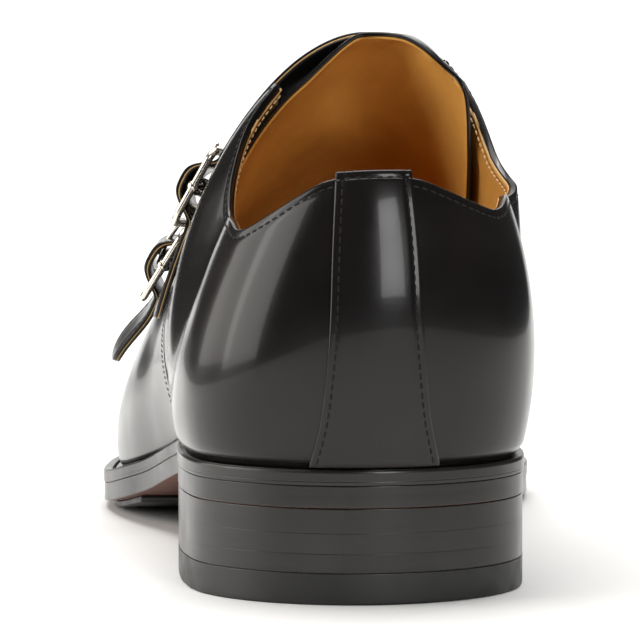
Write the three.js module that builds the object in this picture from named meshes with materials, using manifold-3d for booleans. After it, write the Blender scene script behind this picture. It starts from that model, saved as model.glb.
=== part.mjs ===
// Double monk strap shoe for the left foot, standing on its sole.
// Millimetres, +Z up, +Y to the toe, +X to the inner side (medial), -X to the outer side (lateral).
// The origin is the middle of the heel's flat bottom.

import * as THREE from 'three';
import { mergeVertices } from 'three/addons/utils/BufferGeometryUtils.js';
import Module from 'manifold-3d';

// Sole and heel
const SOLE_LENGTH = 302;
const BALL_WIDTH = 110;
const HEEL_BACK = 34;
const HEEL_LENGTH = 70;
const HEEL_HEIGHT = 19.5;
const TOP_PIECE = 6.4;
const OUTSOLE = 4.3;
const WELT = 3.1;
const SOLE_GUARD = 1.4;
const INSOLE = 4.2;
const TOE_SPRING = 11;
const BREAST_HOLLOW = 3;
const WELT_MARGIN = 5.2;
const HEEL_STEP = 0.8;
const OUTSOLE_STEP = 0.2;
const GUARD_INSET = 3;

// Last and upper
const INSTEP_RISE = 90;
const UPPER_WALL = 1.8;
const QUARTER_STEP = 0.9;
const COLLAR_BACK = 59.5;
const LATERAL_DIP = 47.5;
const MEDIAL_DIP = 51.5;
const THROAT_RISE = 91;
const BACK_STRIP = 1;
const BACK_STRIP_WIDTH = 26;
const TONGUE = 1.6;
const TONGUE_CLEAR = 1.2;
const TONGUE_RAISE = 3.8;
const TONGUE_LIP = 0.6;

// Straps and buckles
const STRAP_WIDTH = 15.5;
const STRAP = 1.7;
const BUCKLE_LENGTH = 21;
const BUCKLE_WIDTH = 21.5;
const BUCKLE_WIRE = 2;
const BUCKLE_BAR = 1.6;
const BUCKLE_CORNER = 2.4;
const TAB = 0.6;
const TAB_WIDTH = 4.4;
const PRONG = 1.5;
const PRONG_EYE = 0.9;

// Clearance between pieces that meet
const GAP = 0.3;
const STRAP_SEAT = 0.5;
const BUCKLE_CLEAR = 0.6;

// Small difference of turn or height that slopes are measured over
const STEP = 0.004;

// Share up a rib over which the surface's direction turns level at the welt
const WELT_FADE = 0.12;

// Heights that the pieces share
const SEAT = HEEL_HEIGHT + GAP;
const TREAD = SOLE_GUARD + GAP;
const WELT_LOW = OUTSOLE + GAP;
const WELT_TOP = WELT_LOW + WELT;
const FEATHER = WELT_TOP + GAP;
const STRAP_BASE = QUARTER_STEP + STRAP_SEAT;
const BUCKLE_LIFT = STRAP + BUCKLE_CLEAR + BUCKLE_WIRE / 2;
const LOOP_INSIDE = BUCKLE_BAR * Math.SQRT1_2 + GAP;
const LOOP_OUTSIDE = LOOP_INSIDE + TAB;
const HUMP = BUCKLE_LIFT + LOOP_OUTSIDE + BUCKLE_CLEAR;
const HUMP_REACH = BUCKLE_LENGTH / 2 - BUCKLE_WIRE - GAP;
const HUMP_FULLNESS = 1.6;
const X_AXIS = new THREE.Vector3(1, 0, 0);
const Y_AXIS = new THREE.Vector3(0, 1, 0);
const Z_AXIS = new THREE.Vector3(0, 0, 1);

// Plan outline of the sole. along is a share of the sole's length from the back of the heel,
// lateral and medial are shares of the ball width to each side.
const OUTLINE = [
  { along: 0, lateral: -0.018, medial: -0.018 },
  { along: 0.026, lateral: -0.221, medial: 0.193 },
  { along: 0.066, lateral: -0.309, medial: 0.284 },
  { along: 0.116, lateral: -0.341, medial: 0.318 },
  { along: 0.182, lateral: -0.346, medial: 0.324 },
  { along: 0.265, lateral: -0.333, medial: 0.293 },
  { along: 0.331, lateral: -0.332, medial: 0.259 },
  { along: 0.414, lateral: -0.377, medial: 0.286 },
  { along: 0.497, lateral: -0.441, medial: 0.382 },
  { along: 0.579, lateral: -0.473, medial: 0.482 },
  { along: 0.662, lateral: -0.457, medial: 0.527 },
  { along: 0.745, lateral: -0.405, medial: 0.507 },
  { along: 0.828, lateral: -0.318, medial: 0.423 },
  { along: 0.9, lateral: -0.213, medial: 0.288 },
  { along: 0.96, lateral: -0.095, medial: 0.155 },
  { along: 1, lateral: 0.036, medial: 0.036 },
];

// Ribs of the last, from the feather line at the welt up to the line along its top.
// rise is a share of the instep's rise and ridge of the ball width; margin is a share of the welt's margin.
const RIBS = [
  { along: 0, rise: 0.93, ridge: 0.01, margin: 0.3 },
  { along: 0.1, rise: 0.93, ridge: 0.03, margin: 0.3 },
  { along: 0.2, rise: 0.96, ridge: 0.05, margin: 0.32 },
  { along: 0.3, rise: 0.985, ridge: 0.073, margin: 0.4 },
  { along: 0.4, rise: 0.875, ridge: 0.077, margin: 0.65 },
  { along: 0.5, rise: 0.79, ridge: 0.073, margin: 0.9 },
  { along: 0.6, rise: 0.68, ridge: 0.064, margin: 1 },
  { along: 0.72, rise: 0.58, ridge: 0.062, margin: 1 },
  { along: 0.86, rise: 0.46, ridge: 0.058, margin: 1 },
  { along: 1, rise: 0.29, ridge: 0.045, margin: 1 },
];

// Walls of the ribs on the lateral and medial side. Lean is the outward slope at the foot of the wall,
// foot and crown are how far each end keeps its direction.
const WALLS = [
  { along: 0, latLean: 0.25, medLean: 0.25, latFoot: 0.55, medFoot: 0.55, latCrown: 0.85, medCrown: 0.85 },
  { along: 0.1, latLean: 0.45, medLean: 0.35, latFoot: 0.36, medFoot: 0.48, latCrown: 0.36, medCrown: 0.7 },
  { along: 0.2, latLean: 0.75, medLean: 0.38, latFoot: 0.24, medFoot: 0.45, latCrown: 0.12, medCrown: 0.84 },
  { along: 0.3, latLean: 0.52, medLean: 0.55, latFoot: 0.38, medFoot: 0.45, latCrown: 0.56, medCrown: 1.66 },
  { along: 0.4, latLean: 0.4, medLean: 0.5, latFoot: 0.4, medFoot: 0.45, latCrown: 0.55, medCrown: 1.3 },
  { along: 0.5, latLean: 0.3, medLean: 0.4, latFoot: 0.4, medFoot: 0.42, latCrown: 0.6, medCrown: 0.8 },
  { along: 0.6, latLean: 0.25, medLean: 0.25, latFoot: 0.4, medFoot: 0.42, latCrown: 0.6, medCrown: 0.65 },
  { along: 0.72, latLean: 0.2, medLean: 0.2, latFoot: 0.42, medFoot: 0.42, latCrown: 0.6, medCrown: 0.6 },
  { along: 0.86, latLean: 0.15, medLean: 0.15, latFoot: 0.48, medFoot: 0.48, latCrown: 0.62, medCrown: 0.62 },
  { along: 1, latLean: 0.12, medLean: 0.12, latFoot: 0.55, medFoot: 0.55, latCrown: 0.65, medCrown: 0.65 },
];
const RIDGE_START = 0.14;
const RIDGE_END = 0.9;

// Profile of the sole's underside. drop is 1 at the heel seat and 0 at the tread,
// spring a share of the toe spring.
const PROFILE = [
  { along: 0, drop: 1, spring: 0 },
  { along: 0.24, drop: 1, spring: 0 },
  { along: 0.34, drop: 0.8, spring: 0 },
  { along: 0.45, drop: 0.36, spring: 0 },
  { along: 0.55, drop: 0.07, spring: 0 },
  { along: 0.62, drop: 0, spring: 0 },
  { along: 0.71, drop: 0, spring: 0 },
  { along: 0.8, drop: 0, spring: 0.15 },
  { along: 0.9, drop: 0, spring: 0.5 },
  { along: 1, drop: 0, spring: 1 },
];

// Collar line between three named heights: the dip at the ankle, the back, and the throat.
// back is how far it stands towards the back's height, the others how far each side is towards the throat's.
const COLLAR = [
  { along: 0, back: 1, latThroat: 0, medThroat: 0 },
  { along: 0.012, back: 1, latThroat: 0, medThroat: 0 },
  { along: 0.02, back: 0.88, latThroat: 0, medThroat: 0 },
  { along: 0.026, back: 0.64, latThroat: 0, medThroat: 0 },
  { along: 0.035, back: 0.36, latThroat: 0, medThroat: 0 },
  { along: 0.05, back: 0.1, latThroat: 0, medThroat: 0 },
  { along: 0.066, back: 0.02, latThroat: 0.002, medThroat: 0.015 },
  { along: 0.09, back: 0, latThroat: 0.042, medThroat: 0.06 },
  { along: 0.115, back: 0, latThroat: 0.055, medThroat: 0.078 },
  { along: 0.14, back: 0, latThroat: 0.046, medThroat: 0.058 },
  { along: 0.175, back: 0, latThroat: 0.01, medThroat: 0.04 },
  { along: 0.198, back: 0, latThroat: -0.01, medThroat: 0.04 },
  { along: 0.216, back: 0, latThroat: -0.016, medThroat: 0.048 },
  { along: 0.232, back: 0, latThroat: -0.006, medThroat: 0.07 },
  { along: 0.249, back: 0, latThroat: 0.041, medThroat: 0.115 },
  { along: 0.267, back: 0, latThroat: 0.152, medThroat: 0.17 },
  { along: 0.288, back: 0, latThroat: 0.322, medThroat: 0.28 },
  { along: 0.31, back: 0, latThroat: 0.505, medThroat: 0.506 },
  { along: 0.323, back: 0, latThroat: 0.64, medThroat: 0.65 },
  { along: 0.34, back: 0, latThroat: 0.8, medThroat: 0.815 },
  { along: 0.354, back: 0, latThroat: 0.9, medThroat: 0.927 },
  { along: 0.371, back: 0, latThroat: 1, medThroat: 1 },
  { along: 0.4, back: 0, latThroat: 1.25, medThroat: 1.25 },
];

// Front edge of the quarters over the vamp, seen from the side.
// along is a share of the sole's length, up a share of the instep's rise above the floor.
const QUARTER_FRONT = [
  { along: 0.3, up: 0.1 },
  { along: 0.33, up: 0.33 },
  { along: 0.375, up: 0.46 },
  { along: 0.43, up: 0.6 },
  { along: 0.49, up: 0.8 },
  { along: 0.5, up: 1.5 },
];

// Throat slot under the straps: its two edges across the last, where 0 is the ridge and 1 the feather line.
const SLOT = [
  { along: 0.24, lateral: -0.28, medial: 0.24 },
  { along: 0.3, lateral: -0.28, medial: 0.24 },
  { along: 0.34, lateral: -0.28, medial: 0.22 },
  { along: 0.42, lateral: -0.24, medial: 0.17 },
  { along: 0.455, lateral: -0.16, medial: 0.11 },
  { along: 0.47, lateral: -0.05, medial: 0.02 },
];

// Turn to each side that still belongs to the back of the heel
const HEEL_TURN = 0.25;

// Width of the back strip, a share of its width at the welt. up is a share of its height.
const BACK_STRIP_WIDTHS = [
  { up: 0, width: 1 },
  { up: 0.15, width: 0.84 },
  { up: 0.4, width: 0.72 },
  { up: 0.7, width: 0.65 },
  { up: 1, width: 0.56 },
];

// Tongue: its side edges across the last, by share from its rear edge to its front one
const TONGUE_SIDES = [
  { share: 0, lateral: -0.78, medial: 0.64 },
  { share: 0.5, lateral: -0.55, medial: 0.52 },
  { share: 1, lateral: -0.36, medial: 0.38 },
];
const TONGUE_FRONT = 0.52;

// Rear edge of the tongue: the rib that it reaches at each share across the last
const TONGUE_REAR = [
  { across: -0.78, along: 0.335 },
  { across: -0.5, along: 0.327 },
  { across: -0.36, along: 0.313 },
  { across: -0.2, along: 0.294 },
  { across: 0, along: 0.27 },
  { across: 0.15, along: 0.272 },
  { across: 0.3, along: 0.295 },
  { across: 0.45, along: 0.325 },
  { across: 0.64, along: 0.362 },
];

// Stretches over which the tongue rises: in from the slot's two edges, across the last, and back from
// the straps and to its rear lip, along it
const TONGUE_RISE = {
  lateral: [0.03, 0.28],
  medial: [0.01, 0.17],
  front: [0.36, 0.42],
  lip: [0.27, 0.29],
};

// Routes of the straps over the last, from the medial end to the free end on the lateral side.
// across is a share across the last, along a share of the sole's length.
const TOP_ROUTE = [
  { across: 0.46, along: 0.402 },
  { across: 0.2, along: 0.394 },
  { across: 0, along: 0.391 },
  { across: -0.3, along: 0.394 },
  { across: -0.5, along: 0.4 },
  { across: -0.7, along: 0.412 },
];
const LOWER_ROUTE = [
  { across: 0.46, along: 0.474 },
  { across: 0.2, along: 0.47 },
  { across: 0, along: 0.469 },
  { across: -0.3, along: 0.472 },
  { across: -0.5, along: 0.48 },
  { across: -0.74, along: 0.5 },
];
const TOP_BAR = -0.46;
const LOWER_BAR = -0.52;
const TOP_STAND_OFF = 0.3;
const LOWER_STAND_OFF = 4;

const LEATHER = { color: 0x0b0b0c, roughness: 0.3, metalness: 0 };
const SOLE_EDGE = { color: 0x0d0c0c, roughness: 0.35, metalness: 0 };
const RED_SOLE = { color: 0x3b1712, roughness: 0.55, metalness: 0 };
const RUBBER = { color: 0x101010, roughness: 0.7, metalness: 0 };
const TAN = { color: 0xa8642e, roughness: 0.6, metalness: 0 };
const METAL = { color: 0xcfc4b0, roughness: 0.25, metalness: 1 };

const wasm = await Module();
wasm.setup();

// Slope at the middle one of three knots, level where a level stretch begins or ends
function slopeAt(a, b, c) {
  const level = a !== b && b !== c && (a[1] === b[1] || b[1] === c[1]);
  return level ? 0 : (c[1] - a[1]) / (c[0] - a[0]);
}

// Smooth value at x through knots [x, value]. A closed run repeats after period.
function smooth(knots, x, period = 0) {
  const list = period
    ? [[knots.at(-2)[0] - period, knots.at(-2)[1]], ...knots, [knots[1][0] + period, knots[1][1]]]
    : [knots[0], ...knots, knots.at(-1)];
  const first = list[1][0];
  const last = list.at(-2)[0];
  const at = Math.min(Math.max(x, first), last);
  let i = 1;
  while (i < list.length - 3 && at > list[i + 1][0]) i += 1;
  const [before, from, to, after] = list.slice(i - 1, i + 3);
  const span = to[0] - from[0];
  const startSlope = slopeAt(before, from, to) * span;
  const endSlope = slopeAt(from, to, after) * span;
  const t = (at - from[0]) / span;
  const rest = 1 - t;
  return from[1] * rest * rest * (1 + 2 * t) + to[1] * t * t * (3 - 2 * t)
    + startSlope * t * rest * rest - endSlope * t * t * rest;
}

// Round parameter: 0 is the back of the heel, 1 the toe, negative is the lateral side
const turnOf = (along) => Math.acos(1 - 2 * along) / Math.PI;
const alongOf = (turn) => (1 - Math.cos(Math.PI * turn)) / 2;
const lengthOf = (along) => along * SOLE_LENGTH - HEEL_BACK;

// Value of a column round the foot, with its own columns for the two sides
function round(rows, lateral, medial) {
  const outer = rows.slice(1).reverse().map((row) => [-turnOf(row.along), row[lateral]]);
  const inner = rows.map((row) => [turnOf(row.along), row[medial]]);
  const knots = [...outer, ...inner];
  return (turn) => smooth(knots, turn, 2);
}

const column = (rows, key, place = 'along') => {
  const knots = rows.map((row) => [row[place], row[key]]);
  return (at) => smooth(knots, at);
};

const outlineX = round(OUTLINE, 'lateral', 'medial');
const margin = round(RIBS, 'margin', 'margin');
const rise = round(RIBS, 'rise', 'rise');
const ridgeX = round(RIBS, 'ridge', 'ridge');
const lean = round(WALLS, 'latLean', 'medLean');
const footHold = round(WALLS, 'latFoot', 'medFoot');
const crownHold = round(WALLS, 'latCrown', 'medCrown');
const drop = column(PROFILE, 'drop');
const spring = column(PROFILE, 'spring');

// Height of the outsole's underside at a place along the shoe
function underside(y) {
  const along = (y + HEEL_BACK) / SOLE_LENGTH;
  return TREAD + (SEAT - TREAD) * drop(along) + TOE_SPRING * spring(along);
}

// Turns run on round the toe: past 1 comes the other side
function wrap(turn) {
  if (turn > 1) return turn - 2;
  return turn < -1 ? turn + 2 : turn;
}

// Point of the sole's outline at a turn, moved inwards by inset
function outline(turn, inset = 0) {
  const point = (t) => new THREE.Vector2(outlineX(wrap(t)) * BALL_WIDTH, lengthOf(alongOf(wrap(t))));
  const tangent = point(turn + STEP).sub(point(turn - STEP)).normalize();
  const inward = new THREE.Vector2(-tangent.y, tangent.x);
  return point(turn).addScaledVector(inward, inset);
}

// Point at a share of the instep line along the top of the last
function ridge(along) {
  const turn = turnOf(Math.min(Math.max(along, 0), 1));
  const length = lengthOf(RIDGE_START + (RIDGE_END - RIDGE_START) * along);
  const feather = outline(turn, margin(turn) * WELT_MARGIN);
  const height = underside(feather.y) + FEATHER + rise(turn) * INSTEP_RISE;
  return new THREE.Vector3(ridgeX(turn) * BALL_WIDTH, length, height);
}

// Point of the last's outer surface: turn goes round the foot, up goes from the feather line to the ridge.
// Each rib is one cubic curve that leaves the welt leaning outwards and reaches the ridge along its slope.
function lastPoint(turn, up) {
  if (up > 1) return lastPoint(-turn, 2 - up);
  const place = wrap(turn);
  const along = alongOf(place);
  const low = outline(place, margin(place) * WELT_MARGIN);
  const foot = new THREE.Vector3(low.x, low.y, underside(low.y) + FEATHER);
  const top = ridge(along);
  const near = ridge(Math.max(along - STEP, 0));
  const far = ridge(Math.min(along + STEP, 1));
  const fall = (far.z - near.z) / (far.y - near.y);
  const out = new THREE.Vector3(foot.x - top.x, foot.y - top.y, 0);
  const reach = out.length();
  out.normalize();
  const wall = (top.z - foot.z) * footHold(place);
  const arm = reach * crownHold(place);
  const lower = foot.clone().addScaledVector(out, wall * lean(place));
  lower.z += wall;
  const upper = top.clone().addScaledVector(out, arm);
  upper.z += fall * out.y * arm;
  const a = 1 - up;
  return new THREE.Vector3()
    .addScaledVector(foot, a * a * a)
    .addScaledVector(lower, 3 * a * a * up)
    .addScaledVector(upper, 3 * a * up * up)
    .addScaledVector(top, up * up * up);
}

// Outward direction of the surface, level at the feather line so that every layer ends on the welt
function skinNormal(turn, up) {
  const level = Math.min(Math.max(up, STEP), 1 - STEP);
  const around = lastPoint(turn + STEP, level).sub(lastPoint(turn - STEP, level));
  const upwards = lastPoint(turn, level + STEP).sub(lastPoint(turn, level - STEP));
  const normal = around.cross(upwards).normalize();
  normal.z *= THREE.MathUtils.smoothstep(up, 0, WELT_FADE);
  return normal.normalize();
}
const skin = (turn, up, offset) => lastPoint(turn, up).addScaledVector(skinNormal(turn, up), offset);

// The same surface by a share across it: -1 is the lateral feather line, 0 the ridge, 1 the medial one
const sideTurn = (across, along) => turnOf(along) * (across < 0 ? -1 : 1);
const over = (across, along, offset) => skin(sideTurn(across, along), 1 - Math.abs(across), offset);
const overNormal = (across, along) => skinNormal(sideTurn(across, along), 1 - Math.abs(across));

// Closed body from two grids of points, the outer face and the one behind it.
// A grid whose ends meet each other needs no end there.
function slab(front, back, { rowEnds = true, columnEnds = true } = {}) {
  const rows = front.length;
  const columns = front[0].length;
  const positions = [...front.flat(), ...back.flat()].flatMap((p) => [p.x, p.y, p.z]);
  const id = (r, c, side) => side * rows * columns + r * columns + c;
  const index = [];
  const quad = (a, b, c, d) => index.push(a, b, c, a, c, d);
  for (let r = 0; r < rows - 1; r += 1) {
    for (let c = 0; c < columns - 1; c += 1) {
      quad(id(r, c, 0), id(r, c + 1, 0), id(r + 1, c + 1, 0), id(r + 1, c, 0));
      quad(id(r, c, 1), id(r + 1, c, 1), id(r + 1, c + 1, 1), id(r, c + 1, 1));
    }
    if (!columnEnds) continue;
    quad(id(r, 0, 0), id(r + 1, 0, 0), id(r + 1, 0, 1), id(r, 0, 1));
    quad(id(r, columns - 1, 0), id(r, columns - 1, 1), id(r + 1, columns - 1, 1), id(r + 1, columns - 1, 0));
  }
  for (let c = 0; rowEnds && c < columns - 1; c += 1) {
    quad(id(0, c, 0), id(0, c, 1), id(0, c + 1, 1), id(0, c + 1, 0));
    quad(id(rows - 1, c, 0), id(rows - 1, c + 1, 0), id(rows - 1, c + 1, 1), id(rows - 1, c, 1));
  }
  const geometry = new THREE.BufferGeometry();
  geometry.setAttribute('position', new THREE.Float32BufferAttribute(positions, 3));
  geometry.setIndex(index);
  return solid(geometry);
}

const shares = (count) => Array.from({ length: count + 1 }, (_, i) => i / count);
const between = (from, to, share) => from + (to - from) * share;

// Solid for joining and cutting, from a geometry
function solid(geometry) {
  const bare = geometry.clone();
  bare.deleteAttribute('normal');
  bare.deleteAttribute('uv');
  const merged = mergeVertices(bare, 1e-4);
  const vertProperties = new Float32Array(merged.attributes.position.array);
  const triVerts = [];
  const order = merged.index.array;
  for (let i = 0; i < order.length; i += 3) {
    const [a, b, c] = [order[i], order[i + 1], order[i + 2]];
    if (a !== b && b !== c && c !== a) triVerts.push(a, b, c);
  }
  const mesh = new wasm.Mesh({ numProp: 3, vertProperties, triVerts: new Uint32Array(triVerts) });
  return new wasm.Manifold(mesh);
}

function geometryOf(body) {
  const mesh = body.getMesh();
  const geometry = new THREE.BufferGeometry();
  geometry.setAttribute('position', new THREE.Float32BufferAttribute(mesh.vertProperties, 3));
  geometry.setIndex([...mesh.triVerts]);
  geometry.computeVertexNormals();
  return geometry;
}

const shoe = new THREE.Group();
function piece(name, body, finish) {
  const mesh = new THREE.Mesh(geometryOf(body), new THREE.MeshStandardMaterial(finish));
  mesh.name = name;
  shoe.add(mesh);
}

// Layer of the sole between two heights over the underside, over a stretch of its length
function layer({ inset, low, high, from = 0, to = 1, stations = 44 }) {
  const start = turnOf(from);
  const end = turnOf(to);
  const face = (height) => shares(stations).map((share) => {
    const turn = between(start, end, share);
    const sides = [outline(-turn, inset(turn)), outline(turn, inset(turn))];
    return sides.map((p) => new THREE.Vector3(p.x, p.y, underside(p.y) + height));
  });
  return slab(face(high), face(low));
}

// Block of the heel: the sole's outline back from a breast that is hollowed a little
function heelBlock(low, high, inset) {
  const breast = HEEL_LENGTH - HEEL_BACK;
  const end = turnOf(HEEL_LENGTH / SOLE_LENGTH);
  const shape = new THREE.Shape();
  const rim = shares(40).map((share) => outline(between(-end, end, share), inset));
  shape.moveTo(rim[0].x, rim[0].y);
  rim.slice(1).forEach((p) => shape.lineTo(p.x, p.y));
  shape.quadraticCurveTo((rim[0].x + rim.at(-1).x) / 2, breast - 2 * BREAST_HOLLOW, rim[0].x, rim[0].y);
  const body = new THREE.ExtrudeGeometry(shape, { depth: high - low, bevelEnabled: false, curveSegments: 8 });
  return solid(body.translate(0, 0, low));
}

// Ring of the sole between two insets from its outline
function ring({ outer, inner, low, high, stations = 88 }) {
  const turns = shares(stations).map((share) => between(-1, 1, share));
  const edge = (inset, height) => turns.map((turn) => {
    const p = outline(turn, inset(turn));
    return new THREE.Vector3(p.x, p.y, underside(p.y) + height);
  });
  const face = (height) => [edge(outer, height), edge(inner, height)];
  return slab(face(high), face(low), { columnEnds: false });
}

piece('heel_top_piece', heelBlock(0, TOP_PIECE, HEEL_STEP / 2), RUBBER);
piece('heel_stack', heelBlock(TOP_PIECE + GAP, HEEL_HEIGHT, HEEL_STEP), SOLE_EDGE);
piece('outsole', layer({ inset: () => OUTSOLE_STEP, low: 0, high: OUTSOLE }), RED_SOLE);
const guard = { inset: () => GUARD_INSET, low: -TREAD, high: -GAP, from: 0.47, to: 0.95, stations: 26 };
piece('sole_guard', layer(guard), RUBBER);

const feather = (turn) => margin(turn) * WELT_MARGIN;
const weltInside = (turn) => feather(turn) + UPPER_WALL;
const insoleEdge = (turn) => weltInside(turn) + 2 * GAP;
piece('welt', ring({ outer: () => 0, inner: weltInside, low: WELT_LOW, high: WELT_TOP }), SOLE_EDGE);

piece('insole', layer({ inset: insoleEdge, low: WELT_LOW, high: WELT_LOW + INSOLE }), TAN);

// Shell between two offsets of the last's surface, from the heel's back to the toe
function shell(outer, inner, stations = 38, steps = 24) {
  const face = (offset) => shares(stations).map((share) => shares(steps).map((step) => {
    const across = between(-1, 1, step);
    return skin(across < 0 ? -share : share, 1 - Math.abs(across), offset);
  }));
  return slab(face(outer), face(inner), { rowEnds: false });
}

// Patch between two offsets of the last's surface and the two edges of the slot
function patch(lateral, medial, outer, inner, rows = 16, steps = 10) {
  const face = (offset) => shares(rows).map((share) => {
    const along = between(SLOT[0].along, SLOT.at(-1).along, share);
    return shares(steps).map((step) => over(between(lateral(along), medial(along), step), along, offset));
  });
  return slab(face(outer), face(inner));
}

// Everything behind the front edge of the quarters, as one prism across the shoe
function behindQuarterFront() {
  const points = QUARTER_FRONT.map((row) => new THREE.Vector2(lengthOf(row.along), row.up * INSTEP_RISE));
  const seam = new THREE.SplineCurve(points).getPoints(18);
  const behind = -HEEL_BACK - BALL_WIDTH;
  const corners = [points[0], points.at(-1)].map((p) => new THREE.Vector2(behind, p.y));
  const shape = new THREE.Shape([corners[0], ...seam, corners[1]]);
  const prism = new THREE.ExtrudeGeometry(shape, { depth: 2 * BALL_WIDTH, bevelEnabled: false });
  const turned = new THREE.Matrix4().makeBasis(Y_AXIS, Z_AXIS, X_AXIS);
  return solid(prism.applyMatrix4(turned).translate(-BALL_WIDTH, 0, 0));
}

// Everything above the collar line, which lies lower on the lateral side
function aboveCollar(stations = 64, steps = 6) {
  const back = column(COLLAR, 'back');
  const throats = [column(COLLAR, 'latThroat'), column(COLLAR, 'medThroat')];
  const width = BALL_WIDTH / 2;
  const line = (along, side) => {
    const dip = between(LATERAL_DIP, MEDIAL_DIP, side);
    const throat = between(throats[0](along), throats[1](along), side);
    return SEAT + WELT_TOP + dip + back(along) * (COLLAR_BACK - dip) + throat * (THROAT_RISE - dip);
  };
  const face = (heightAt) => shares(stations).map((share) => {
    const along = between(COLLAR[0].along - COLLAR.at(-1).along / 4, COLLAR.at(-1).along, share);
    return shares(steps).map((step) => {
      const x = between(-width, width, step);
      const side = THREE.MathUtils.smoothstep(x, -width / 2, width / 2);
      return new THREE.Vector3(x, lengthOf(along), heightAt(along, side));
    });
  });
  return slab(face(() => 3 * INSTEP_RISE), face(line));
}

const walls = shell(0, -UPPER_WALL);
const quarters = shell(QUARTER_STEP, -UPPER_WALL / 2).intersect(behindQuarterFront());
const opening = aboveCollar();
const slotLateral = column(SLOT, 'lateral');
const slotMedial = column(SLOT, 'medial');
const slot = patch(slotLateral, slotMedial, 3 * UPPER_WALL, -5 * UPPER_WALL);
piece('upper', walls.add(quarters).subtract(opening).subtract(slot), LEATHER);

// Place between two ends up to which a condition holds
function halve(low, high, holds) {
  let [from, to] = [low, high];
  for (let i = 0; i < 30; i += 1) {
    const middle = (from + to) / 2;
    if (holds(middle)) from = middle;
    else to = middle;
  }
  return from;
}

// Share up the rib at a turn that reaches a height
const upAt = (turn, height) => halve(0, 1, (up) => lastPoint(turn, up).z < height);

// Turn at which the back of the heel reaches a distance from the middle plane
const turnAtSide = (x, up) => halve(-HEEL_TURN, HEEL_TURN, (turn) => lastPoint(turn, up).x < x);

// Strip up the back of the heel, narrowing to the collar
function backStrip() {
  const base = QUARTER_STEP + GAP;
  const width = column(BACK_STRIP_WIDTHS, 'width', 'up');
  const top = upAt(0, SEAT + WELT_TOP + COLLAR_BACK);
  const face = (offset) => shares(9).map((height) => shares(6).map((step) => {
    const x = between(-0.5, 0.5, step) * width(height) * BACK_STRIP_WIDTH;
    return skin(turnAtSide(x, top * height), top * height, offset);
  }));
  return slab(face(base + BACK_STRIP), face(base));
}
piece('back_strip', backStrip(), LEATHER);

// Height of the tongue over the last: inside the upper, but pushed up in the slot to the straps,
// with a lip that stands up behind them
function tongueOffset(across, along) {
  const { smoothstep } = THREE.MathUtils;
  const { lateral, medial, front, lip } = TONGUE_RISE;
  const fromLateral = across - slotLateral(along);
  const fromMedial = slotMedial(along) - across;
  const inSlot = smoothstep(fromLateral, ...lateral) * smoothstep(fromMedial, ...medial);
  const raised = TONGUE_RAISE * (1 - smoothstep(along, ...front));
  const lipped = TONGUE_LIP * (1 - smoothstep(along, ...lip));
  return -UPPER_WALL - TONGUE_CLEAR + inSlot * (raised + lipped);
}

// Tongue: a sheet inside the upper that fills the slot
function tongue(rows = 8, steps = 24) {
  const lateral = column(TONGUE_SIDES, 'lateral', 'share');
  const medial = column(TONGUE_SIDES, 'medial', 'share');
  const rear = column(TONGUE_REAR, 'along', 'across');
  const face = (depth) => shares(rows).map((share) => shares(steps).map((step) => {
    const across = between(lateral(share), medial(share), step);
    const along = between(rear(across), TONGUE_FRONT, share);
    return over(across, along, tongueOffset(across, along) - depth);
  }));
  return slab(face(0), face(TONGUE));
}
piece('tongue', tongue(), LEATHER);

// Share along the ridge of the rib that crosses a route at a share across the last
function ribOnRoute(rows, across) {
  const place = lengthOf(smooth(rows.map((row) => [-row.across, row.along]), -across));
  return halve(0, 1, (along) => lastPoint(sideTurn(across, along), 1 - Math.abs(across)).y < place);
}

// Place on a strap's route: a point on its seat, with directions sideways, down the strap and outwards
function placeOnRoute(rows, across) {
  const along = ribOnRoute(rows, across);
  const normal = overNormal(across, along);
  const above = over(across + STEP, ribOnRoute(rows, across + STEP), 0);
  const below = over(across - STEP, ribOnRoute(rows, across - STEP), 0);
  const sideways = below.sub(above).cross(normal).normalize();
  return { across, point: over(across, along, STRAP_BASE), sideways, normal, length: 0 };
}

// Places along a strap's route, with the length up to each
function routeOf(rows, count = 54) {
  const [start, end] = [rows[0].across, rows.at(-1).across];
  const places = shares(count).map((share) => placeOnRoute(rows, between(start, end, share)));
  places.slice(1).forEach((place, i) => {
    place.length = places[i].length + place.point.distanceTo(places[i].point);
  });
  return places;
}

// Length along a route at which it crosses the bar of its buckle
function lengthAtBar(points, bar) {
  const next = points.findIndex((p) => p.across <= bar);
  const [a, b] = [points[next - 1], points[next]];
  return between(a.length, b.length, (a.across - bar) / (a.across - b.across));
}

// Strap: flat across, round at both ends, humped over the buckle's bar and free beyond the buckle
function strap({ route, bar, standOff }) {
  const points = routeOf(route);
  const middle = lengthAtBar(points, bar);
  const total = points.at(-1).length;
  const lift = (length) => {
    const away = length - middle;
    const share = Math.min(Math.abs(away) / HUMP_REACH, 1);
    const hump = Math.cos((Math.PI / 2) * share ** HUMP_FULLNESS) ** 2 * HUMP;
    return hump + standOff * THREE.MathUtils.smoothstep(away, BUCKLE_LENGTH / 2, total - middle);
  };
  const halfWidth = (length) => {
    const end = Math.max(Math.min(length, total - length), 0);
    const rounding = Math.min((end + GAP) / STRAP_WIDTH, 1);
    return (STRAP_WIDTH / 2) * Math.sqrt(1 - (1 - rounding) ** 4);
  };
  const face = (offset) => points.map((p) => shares(2).map((step) => p.point.clone()
    .addScaledVector(p.sideways, between(-1, 1, step) * halfWidth(p.length))
    .addScaledVector(p.normal, offset + lift(p.length))));
  return slab(face(STRAP), face(0));
}

// Frame of a buckle: x runs forward along its bar, y down the strap, z outwards
function buckleFrame(route, bar) {
  const { point, sideways, normal } = placeOnRoute(route, bar);
  const centre = point.clone().addScaledVector(normal, BUCKLE_LIFT);
  return new THREE.Matrix4().makeBasis(sideways, normal.clone().cross(sideways), normal).setPosition(centre);
}

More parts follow.
